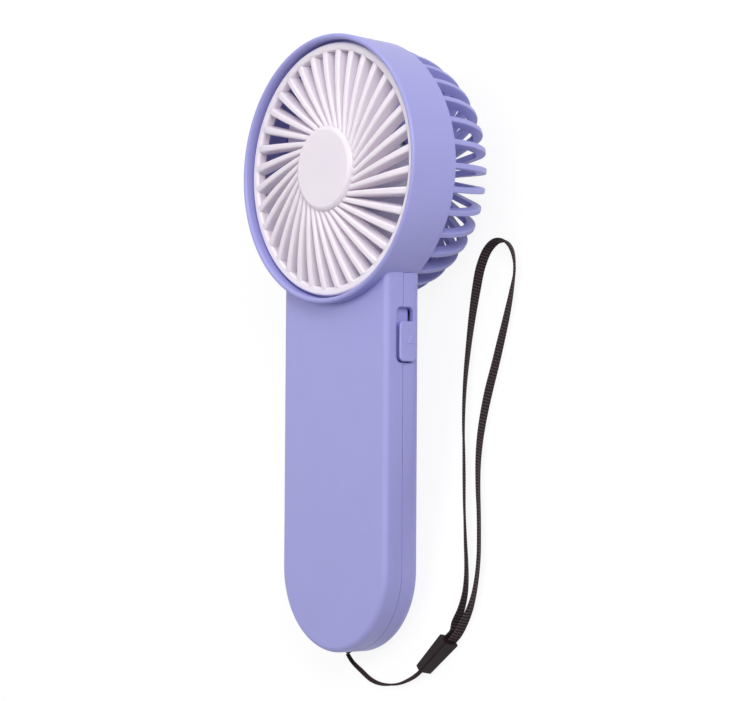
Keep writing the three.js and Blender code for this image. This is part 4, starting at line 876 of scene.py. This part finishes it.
hub_back, hub_shoulder = HUB_FACE_Z - HUB_DEPTH, HUB_FACE_Z - HUB_EDGE
hub_roof, sleeve_end = HUB_FACE_Z - HUB_WALL, HUB_FACE_Z - SLEEVE_DEPTH
hub_profile = [(0, HUB_FACE_Z)] + arc((HUB_RADIUS - HUB_EDGE, hub_shoulder), HUB_EDGE, 90, 0, 12)
hub_profile += [(HUB_RADIUS, hub_back), (HUB_INNER_RADIUS, hub_back), (HUB_INNER_RADIUS, hub_shoulder)]
hub_profile += [(SLEEVE_RADIUS, hub_roof), (SLEEVE_RADIUS, sleeve_end), (SHAFT_BORE, sleeve_end)]
hub_profile += [(SHAFT_BORE, hub_roof), (0, hub_roof)]
hub = turned("hub", hub_profile, 128, closed=False)
blades = repeated(blade_shape(), clear_white_pp, count=BLADE_COUNT, pitch=tau / BLADE_COUNT)
impeller = merged("impeller_moulding", [hub, blades])
dress(impeller, clear_white_pp, "impeller", "impeller", body="rotor", merge=0.0005)

# %% [markdown]
# The slider is a rounded block that stands 1.5 mm proud of the slot. Behind the wall its flange keeps
# it in, and shows as the floor of the slot where the block leaves it free. A small raised triangle
# points up the handle, and inside two prongs hold the lever of the switch.

# %% Slider
SLIDER_Y = -55.6
SLIDER_LENGTH = 12.6
SLIDER_WIDTH = 6.6
SLIDER_UNDERCUT = 1.0
SLIDER_CORNER = 1.6
SLIDER_TOP_X = 27.35
SLIDER_EDGE = 0.45
NECK_INSET = 0.15
NECK_SUNK = 0.2
FLANGE_OUTER_X = 23.75
FLANGE_WALL = 1.1
FLANGE_ENDS = (-67.4, -43.8)
FLANGE_WIDTH = 6.6
FLANGE_SHIFT = 0.6
LEVER_Y = -57.6
PRONG_ENDS = (20.25, 23.2)
PRONG_PLACE = 2.1
PRONG_WIDTH = 1.6
PRONG_HEIGHT = 3.2
TRIANGLE_Y = -55.2
TRIANGLE_SHIFT = -1.2
TRIANGLE_SIZE = 1.6
TRIANGLE_BACK = -TRIANGLE_SIZE * 0.7
TRIANGLE_STOPS = ((-0.3, 1.0), (0.125, 1.0), (0.25, 0.8))


def ends(middle, width):
    return middle - width / 2, middle + width / 2


def block(x_ends, y_ends, z_ends):
    (y0, y1), (z0, z1) = y_ends, z_ends
    outline = [(y0, z0), (y1, z0), (y1, z1), (y0, z1)]
    return lofted("block", [[(x, a, b) for a, b in outline] for x in x_ends])


neck_starts = (FLANGE_OUTER_X - FLANGE_WALL / 2, HANDLE_HALF - NECK_SUNK)
slider_stops = [(NECK_INSET, SLIDER_UNDERCUT, x) for x in neck_starts]
for a, b in arc((0, 0), SLIDER_EDGE, 0, 90, 6):
    slider_stops.append((SLIDER_EDGE - a, 0, SLIDER_TOP_X - SLIDER_EDGE + b))
slider_rings = []
for inset, undercut, x in slider_stops:
    width = SLIDER_WIDTH - 2 * inset - undercut
    outline = rounded_rectangle(SLIDER_LENGTH - 2 * inset, width, SLIDER_CORNER - inset * 0.8)
    slider_rings.append([(x, SLIDER_Y + a, OPENING_Z + b - undercut / 2) for a, b in outline])
triangle = [(TRIANGLE_SIZE, 0.0), (TRIANGLE_BACK, TRIANGLE_SIZE), (TRIANGLE_BACK, -TRIANGLE_SIZE)]
triangle_z = OPENING_Z + TRIANGLE_SHIFT
triangle_rings = [
    [(SLIDER_TOP_X + rise, TRIANGLE_Y + a * size, triangle_z + b * size) for a, b in triangle]
    for rise, size in TRIANGLE_STOPS
]
flange_x = (FLANGE_OUTER_X - FLANGE_WALL, FLANGE_OUTER_X)
slider_parts = [
    lofted("body", slider_rings),
    lofted("mark", triangle_rings),
    block(flange_x, FLANGE_ENDS, ends(OPENING_Z + FLANGE_SHIFT, FLANGE_WIDTH)),
]
for y in (LEVER_Y - PRONG_PLACE, LEVER_Y + PRONG_PLACE):
    slider_parts.append(block(PRONG_ENDS, ends(y, PRONG_WIDTH), ends(OPENING_Z, PRONG_HEIGHT)))
slider = merged("slider_moulding", slider_parts)
dress(slider, lavender_abs, "shell", "slider_button", body="slider", merge=0.0005)

# %% [markdown]
# The motor shows through the cage: a drawn can with a rounded front edge, in the black end cap that
# carries it. The can is turned finer than in the frame.

# %% Motor
MOTOR_RADIUS = 12.0
MOTOR_LENGTH = 20.5
MOTOR_GAP = 0.3
END_CAP_HEIGHT = 3.3
CAN_EDGE = 1

motor_back = CAGE_BACK_Z + CUP_FLOOR + MOTOR_GAP
can_face, can_back = motor_back + MOTOR_LENGTH, motor_back + END_CAP_HEIGHT
can_profile = [(SHAFT_BORE, can_back), (MOTOR_RADIUS, can_back)]
can_profile += arc((MOTOR_RADIUS - CAN_EDGE, can_face - CAN_EDGE), CAN_EDGE, 0, 90, 8)
can_profile += [(SHAFT_BORE, can_face)]
motor_can = turned("motor_can_drawn", can_profile, 128)
dress(motor_can, plated_steel, "steel", "motor_can")

# %% [markdown]
# Small pan-head screws hold the shells and the motor. They are turned, and a cross is cut into each
# head. They sit in counterbores, so only their heads show.

# %% Screws
SCREW_RADIUS = 0.95
SCREW_HEAD_RADIUS = 1.9
SCREW_HEAD_HEIGHT = 1.2
SCREW_DOME = SCREW_HEAD_HEIGHT * 0.6
SCREW_SUNK = 0.3
SHELL_SCREW_LENGTH = 6.5
MOTOR_SCREW_LENGTH = 3.2
CROSS_LENGTH = 2.2
CROSS_WIDTH = 0.45
CROSS_DEPTH = 0.7


def fit_screw(node, x, y, seat_z, length):
    """Turns a screw, cuts the cross into its head and sets it on its seat."""
    dome = arc((0, 0), 1.0, -90, 0, 8)
    profile = [(SCREW_HEAD_RADIUS * a, SCREW_DOME * (b + 1) - SCREW_HEAD_HEIGHT) for a, b in dome]
    profile += [(SCREW_HEAD_RADIUS, 0), (SCREW_RADIUS, 0)]
    profile += [(SCREW_RADIUS, length - SCREW_RADIUS), (0, length)]
    screw = turned(node + "_cross_head", profile, 48, closed=False)
    depth = (-SCREW_HEAD_HEIGHT - 1, -SCREW_HEAD_HEIGHT + CROSS_DEPTH)
    for turn in (0, pi / 2):
        bar = block(ends(0, CROSS_LENGTH), ends(0, CROSS_WIDTH), depth)
        bar.data.transform(Matrix.Rotation(turn, 4, "Z"))
        combine(screw, [bar], "DIFFERENCE")
    screw.data.transform(Matrix.Translation((x, y, seat_z - SCREW_SUNK)))
    dress(screw, plated_steel, "steel", node)


for name, (x, y) in zip(("upper_left", "upper_right", "lower_left", "lower_right"), SCREW_PLACES):
    fit_screw("shell_screw_" + name, x, y, SCREW_SEAT_Z, SHELL_SCREW_LENGTH)
for name, (x, y) in zip(("left", "right"), MOTOR_SCREWS):
    fit_screw("motor_screw_" + name, x, y, MOTOR_SCREW_SEAT, MOTOR_SCREW_LENGTH)

# %% [markdown]
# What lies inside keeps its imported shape, because almost nothing of it shows, but each piece still
# gets the finish of the real one.

# %% Finishes of the inner pieces
inner_finishes = [
    (plated_steel, ["motor_shaft", "switch_body", "charging_socket"]),
    (plated_steel, ["board_screw_left", "board_screw_right"]),
    (black_nylon, ["motor_end_cap", "switch_lever", "controller_chip", "boost_coil"]),
    (black_nylon, ["battery_lead_negative", "motor_lead_negative"]),
    (red_sleeve, ["battery_lead_positive", "motor_lead_positive"]),
    (sintered_bronze, ["motor_bush"]),
    (green_resist, ["circuit_board"]),
    (pouch_foil, ["battery_cell"]),
    (white_foam, ["battery_pad"]),
]
for material, nodes in inner_finishes:
    for node in nodes:
        slots = frame["nodes"][node].data.materials
        slots.clear()
        slots.append(material)
print("inner pieces finished:", sum(len(nodes) for _, nodes in inner_finishes))

# %% [markdown]
# The strap lies on the surface beside the fan. The points of its route follow the frame's solids, and
# its ends run on into the knot and the crimp. A smooth curve goes through all of them, spaced by the
# root of their distance so that it makes no loops at close points.

# %% A smooth route through points
SMALLEST_STEP = 1e-9
RIBBON_FLAT = 0.02


def knots_apart(a, b):
    return max((a - b).length, SMALLEST_STEP) ** 0.5


def mixed(a, b, start, stop, t):
    return a * ((stop - t) / (stop - start)) + b * ((t - start) / (stop - start))


def smooth_route(points, per_stop):
    """Centripetal curve through the points, with per_stop steps from one to the next."""
    stops = [Vector(point) for point in points]
    stops = [stops[0] * 2 - stops[1], *stops, stops[-1] * 2 - stops[-2]]
    route = []
    for p0, p1, p2, p3 in zip(stops, stops[1:], stops[2:], stops[3:]):
        t1 = knots_apart(p0, p1)
        t2 = t1 + knots_apart(p1, p2)
        t3 = t2 + knots_apart(p2, p3)
        for step in range(per_stop):
            t = t1 + (t2 - t1) * step / per_stop
            a1, a2, a3 = mixed(p0, p1, 0, t1, t), mixed(p1, p2, t1, t2, t), mixed(p2, p3, t2, t3, t)
            b1, b2 = mixed(a1, a2, 0, t2, t), mixed(a2, a3, t1, t3, t)
            route.append(mixed(b1, b2, t1, t2, t))
    return [*route, stops[-2]]


def route_length(route):
    return sum((b - a).length for a, b in zip(route, route[1:]))


def swept(name, route, sections):
    """Lofts a section, [across, up] points, along a route. UVs are millimetres along and round."""
    rings = []
    lengths = [0.0]
    for index, (middle, section) in enumerate(zip(route, sections)):
        before, after = route[max(index - 1, 0)], route[min(index + 1, len(route) - 1)]
        along = (after - before).normalized()
        across = along.cross(UP).normalized()
        lift = across.cross(along).normalized()
        rings.append([middle + across * a + lift * b for a, b in section])
        if index:
            lengths.append(lengths[-1] + (middle - route[index - 1]).length)
    shape = skin(rings)
    uv = shape.loops.layers.uv.new("length_mm")
    shape.verts.ensure_lookup_table()
    count = len(rings[0])
    girth = [0.0]
    for step in range(count):
        girth.append(girth[-1] + (rings[0][(step + 1) % count] - rings[0][step]).length)
    for face in shape.faces:
        steps = [loop.vert.index % count for loop in face.loops]
        wraps = 0 in steps and count - 1 in steps
        for loop, step in zip(face.loops, steps):
            turned_step = count if wraps and step == 0 else step
            loop[uv].uv = (lengths[loop.vert.index // count], girth[turned_step])
    return to_object(name, shape)


def ribbon_section(width, thickness, twist):
    turn = radians(twist)
    c, s = cos(turn), sin(turn)
    flat = rounded_rectangle(width, thickness, thickness / 2 - RIBBON_FLAT, 4)
    return [(a * c - b * s, a * s + b * c) for a, b in flat]


STRAP_PLACE = Matrix.Translation((0, head_point.y, 0)) @ Matrix.Scale(MM, 4)
SOFT = {"angle": 60, "merge": 0.0001}
print("the strap's origin:", STRAP_PLACE.translation)

# %% [markdown]
# The thin cord is a flat ribbon. It starts behind the tail at the hitch on the lanyard eye, drops to
# the surface, turns over on its way and goes into the crimp.

# %% Thin cord
CORD_WIDTH = 1.5
CORD_THICKNESS = 0.65
CORD_STEPS = 8
CRIMP_NEAR = (30.9, -152.9)
CRIMP_BEARING = radians(44.7)
CRIMP_HEIGHT = 4.8
CRIMP_START = 0.8
SEAT = 0.3
CORD_ROUTE = [
    (-5.15, -150.1, 3.3), (-3.9, -152.4, 1.8), (0.0, -154.9, 0.9), (5.3, -157.4, 0.8), (10.0, -158.4, 0.8),
    (14.4, -158.4, 0.8), (19.0, -157.8, 0.8), (23.2, -156.4, 0.9), (27.2, -154.7, 1.4),
]
CORD_TWISTS = [90, 70, 35, 0, -50, -90, -120, -150, -175, -180]

crimp_along = Vector((cos(CRIMP_BEARING), sin(CRIMP_BEARING), 0))
crimp_across = Vector((-crimp_along.y, crimp_along.x, 0))
crimp_near = Vector((*CRIMP_NEAR, CRIMP_HEIGHT / 2))
cord_stops = [*CORD_ROUTE, crimp_near + crimp_along * (CRIMP_START + SEAT)]
cord_route = smooth_route(cord_stops, CORD_STEPS)
cord_sections = []
for index in range(len(cord_route)):
    stop, part = divmod(index / CORD_STEPS, 1)
    before, after = CORD_TWISTS[int(stop)], CORD_TWISTS[min(int(stop) + 1, len(CORD_TWISTS) - 1)]
    cord_sections.append(ribbon_section(CORD_WIDTH, CORD_THICKNESS, between(before, after, part)))
thin_cord = swept("strap_cord_ribbon", cord_route, cord_sections)
dress(thin_cord, braided_cord, "strap_cord", "strap_cord", place=STRAP_PLACE, **SOFT)
print("thin cord in mm:", round(route_length(cord_route), 1))

# %% [markdown]
# The hitch is a thinner loop of the same cord, through the two holes of the lanyard eye and round the
# bar between them, with a small knot outside.

# %% Hitch on the lanyard eye
HITCH_REACH = (EYE_BAR + EYE_HOLE) / 2
HITCH_OUTWARD = 1.75
HITCH_RADIUS = 0.42
HITCH_SIDES = 10
KNOT_REACH = 0.6
KNOT_HEIGHT = KNOT_REACH * 0.7
KNOT_TILT = 35


def round_loop(frame_at, width, height):
    route = [frame_at @ Vector((width * a, height * b, 0)) for a, b in arc((0, 0), 1.0, -90, 262, 60)]
    section = arc((0, 0), HITCH_RADIUS, 0, 360 - 360 / HITCH_SIDES, HITCH_SIDES - 1)
    return swept("loop", route, [section] * len(route))


loops = [round_loop(EYE_FRAME, HITCH_REACH, HITCH_OUTWARD)]
knot_middle = EYE_FRAME @ Vector((0, -HITCH_OUTWARD, -HITCH_RADIUS))
for tilt in (-KNOT_TILT, KNOT_TILT):
    turn = Matrix.Translation(knot_middle) @ Matrix.Rotation(radians(tilt), 4, "Y")
    loops.append(round_loop(turn, KNOT_REACH, KNOT_HEIGHT))
hitch = merged("strap_hitch_knotted", loops)
dress(hitch, braided_cord, "strap_cord", "strap_hitch", **SOFT)

# %% [markdown]
# The crimp is a small moulded wedge with crisp edges, which stands on its narrow side. The cord goes
# into its slim end and both ends of the tape into the other.

# %% Crimp
CRIMP_LENGTH = 14.9
CRIMP_CORNER = 0.5
CRIMP_EDGE = 0.3
CRIMP_WIDTHS = (3.0, 4.1)
CRIMP_HEIGHTS = (4.9, 5.8)
CRIMP_LIFT = 0.5
CRIMP_SHIFT = 0.65

crimp_rings = []
crimp_span = CRIMP_LENGTH - CRIMP_START
crimp_stops = [(CRIMP_EDGE - b, CRIMP_EDGE - a) for a, b in arc((0, 0), CRIMP_EDGE, 90, 0, 4)]
crimp_stops += [(crimp_span - run, inset) for run, inset in reversed(crimp_stops)]
for run, inset in crimp_stops:
    width = between(*CRIMP_WIDTHS, run / crimp_span) - 2 * inset
    height = between(*CRIMP_HEIGHTS, run / crimp_span) - 2 * inset
    outline = rounded_rectangle(width, height, CRIMP_CORNER - inset * 0.5)
    centre = crimp_near + crimp_along * (CRIMP_START + run) - crimp_across * CRIMP_SHIFT + UP * CRIMP_LIFT
    crimp_rings.append([centre + crimp_across * a + UP * b for a, b in outline])
crimp = lofted("strap_crimp_moulding", crimp_rings)
dress(crimp, crimp_black, "strap_crimp", "strap_crimp", place=STRAP_PLACE, angle=40)

# %% [markdown]
# The tape stands on its edge or leans along the surface. Its height at each point follows from its
# twist, so its lowest edge always lies on the floor. The weave comes from the UV map.

# %% Woven tape
WEBBING_WIDTH = 3.7
WEBBING_THICKNESS = 0.8
WEBBING_SPREAD = 1.9
WEBBING_RUN = 2.5
WEBBING_STEPS = 6
LIFT = 0.05
TWIST_SHARE = 10
WEBBING_ROUTE = [
    (42.8, -137.6, 88), (44.3, -132.9, 74), (44.9, -128.2, 64), (44.4, -123.0, 57), (43.2, -117.7, 53),
    (41.9, -113.0, 50), (40.5, -107.8, 46), (38.6, -100.5, 42), (36.7, -92.0, 39), (35.0, -84.0, 41),
    (33.2, -75.5, 46), (31.9, -67.5, 50), (31.0, -58.5, 56), (30.6, -49.0, 63), (30.5, -40.0, 74),
    (30.7, -31.0, 86), (31.3, -24.0, 90), (33.4, -18.6, 90), (36.6, -16.0, 90), (40.3, -15.9, 94),
    (43.6, -18.0, 108), (45.6, -21.2, 124), (46.8, -26.0, 138), (47.0, -32.5, 125), (46.5, -40.5, 112),
    (45.5, -48.5, 104), (44.4, -56.4, 101), (43.1, -64.4, 99), (42.3, -72.3, 104), (42.1, -80.3, 111),
    (42.8, -88.2, 118), (44.3, -96.0, 122), (45.9, -102.6, 125), (47.4, -109.6, 126), (48.6, -116.3, 126),
    (49.1, -122.8, 125), (48.9, -128.6, 120), (48.0, -133.2, 108), (46.1, -137.7, 94),
]


def tape_section(twist):
    """A flat section with rounded edges, turned by its twist and set on the floor."""
    leaning = ribbon_section(WEBBING_WIDTH, WEBBING_THICKNESS, twist)
    lowest = min(b for a, b in leaning)
    return [(a, b - lowest + LIFT) for a, b in leaning]


def tape_end(side, run):
    """A stop beside the crimp's far end, with the tape on its edge."""
    far = crimp_near + crimp_along * CRIMP_LENGTH
    end = far + crimp_across * side * WEBBING_SPREAD / 2 + crimp_along * run
    return (*end.xy, 90)


tape_stops = [tape_end(1, -SEAT), tape_end(1, WEBBING_RUN), *WEBBING_ROUTE]
tape_stops += [tape_end(-1, WEBBING_RUN), tape_end(-1, -SEAT)]
tape_flow = smooth_route([(x, y, twist / TWIST_SHARE) for x, y, twist in tape_stops], WEBBING_STEPS)
tape_route = [Vector((stop.x, stop.y, 0)) for stop in tape_flow]
tape_sections = [tape_section(stop.z * TWIST_SHARE) for stop in tape_flow]
tape = swept("strap_tape_woven", tape_route, tape_sections)
dress(tape, woven_tape, "webbing", "strap_webbing", place=STRAP_PLACE, **SOFT)
print("tape in mm:", round(route_length(tape_route), 1))

# %% [markdown]
# The thin cord goes from the hitch into the crimp, and the tape goes out of the crimp and back into
# it.

# %% [markdown]
# The surface is a pale plane that keeps the soft shadow. The key lamp stands on the side of the
# switch, a second one above the head, a third overhead and a faint one on the left, and an even sky
# fills the shade. Seen directly, sky and surface are close to white.

# %% Floor and sky
FLOOR_SIZE = 3.0
FLOOR_DROP = 0.2 * MM
FLOOR_GLOW = 0.85
WHITE = (1, 1, 1, 1)


def seen_ray(tree):
    """1 for rays that see the background directly, in a mirror or through glass."""
    path = add_node(tree, "ShaderNodeLightPath")
    rays = {0: (path, "Is Camera Ray"), 1: (path, "Is Glossy Ray")}
    mirror = add_node(tree, "ShaderNodeMath", rays, operation="MAXIMUM")
    rays = {0: (mirror, "Value"), 1: (path, "Is Transmission Ray")}
    return add_node(tree, "ShaderNodeMath", rays, operation="MAXIMUM"), "Value"


floor_shape = bmesh.new()
bmesh.ops.create_grid(floor_shape, x_segments=1, y_segments=1, size=FLOOR_SIZE)
floor = to_object("floor", floor_shape)
floor.location.z = -FLOOR_DROP
floor_paint, tree = new_material("pale_paper")
paper = add_node(tree, "ShaderNodeBsdfDiffuse", {"Color": srgb("#f4f4f6")})
glow = add_node(tree, "ShaderNodeEmission", {"Color": WHITE, "Strength": 1.05})
seen = add_node(tree, "ShaderNodeMath", {0: seen_ray(tree), 1: FLOOR_GLOW}, operation="MULTIPLY")
surface = {"Fac": (seen, "Value"), 1: (paper, "BSDF"), 2: (glow, "Emission")}
end_material(tree, add_node(tree, "ShaderNodeMixShader", surface), "Shader")
floor.data.materials.append(floor_paint)

sky = bpy.data.worlds.new("studio")
sky.use_nodes = True
tree = sky.node_tree
tree.nodes.clear()
light = add_node(tree, "ShaderNodeBackground", {"Color": WHITE, "Strength": 0.22})
white = add_node(tree, "ShaderNodeBackground", {"Color": WHITE, "Strength": 1.0})
surface = {"Fac": seen_ray(tree), 1: (light, "Background"), 2: (white, "Background")}
mix = add_node(tree, "ShaderNodeMixShader", surface)
add_node(tree, "ShaderNodeOutputWorld", {"Surface": (mix, "Shader")})
bpy.context.scene.world = sky
print("floor lies", FLOOR_DROP / MM, "mm under the fan")

# %% Lamps
def area_lamp(name, place, size, watts):
    """A round lamp that points at the origin."""
    lamp = bpy.data.objects.new(name, bpy.data.lights.new(name, "AREA"))
    lamp.data.shape = "DISK"
    lamp.data.size = size
    lamp.data.energy = watts
    bpy.context.scene.collection.objects.link(lamp)
    lamp.location = place
    lamp.rotation_euler = (Vector((0, 0, 0)) - Vector(place)).to_track_quat("-Z", "Y").to_euler()


area_lamp("key", (0.95, 0.4, 0.75), 0.7, 7.6)
area_lamp("top", (-0.1, 0.9, 0.8), 0.7, 2.9)
area_lamp("over", (0, 0, 1.25), 0.8, 4.9)
area_lamp("left", (-0.4, -0.07, 0.33), 0.15, 0.08)
bpy.context.scene.view_settings.view_transform = "Standard"
print("lamps:", len(bpy.data.lights))
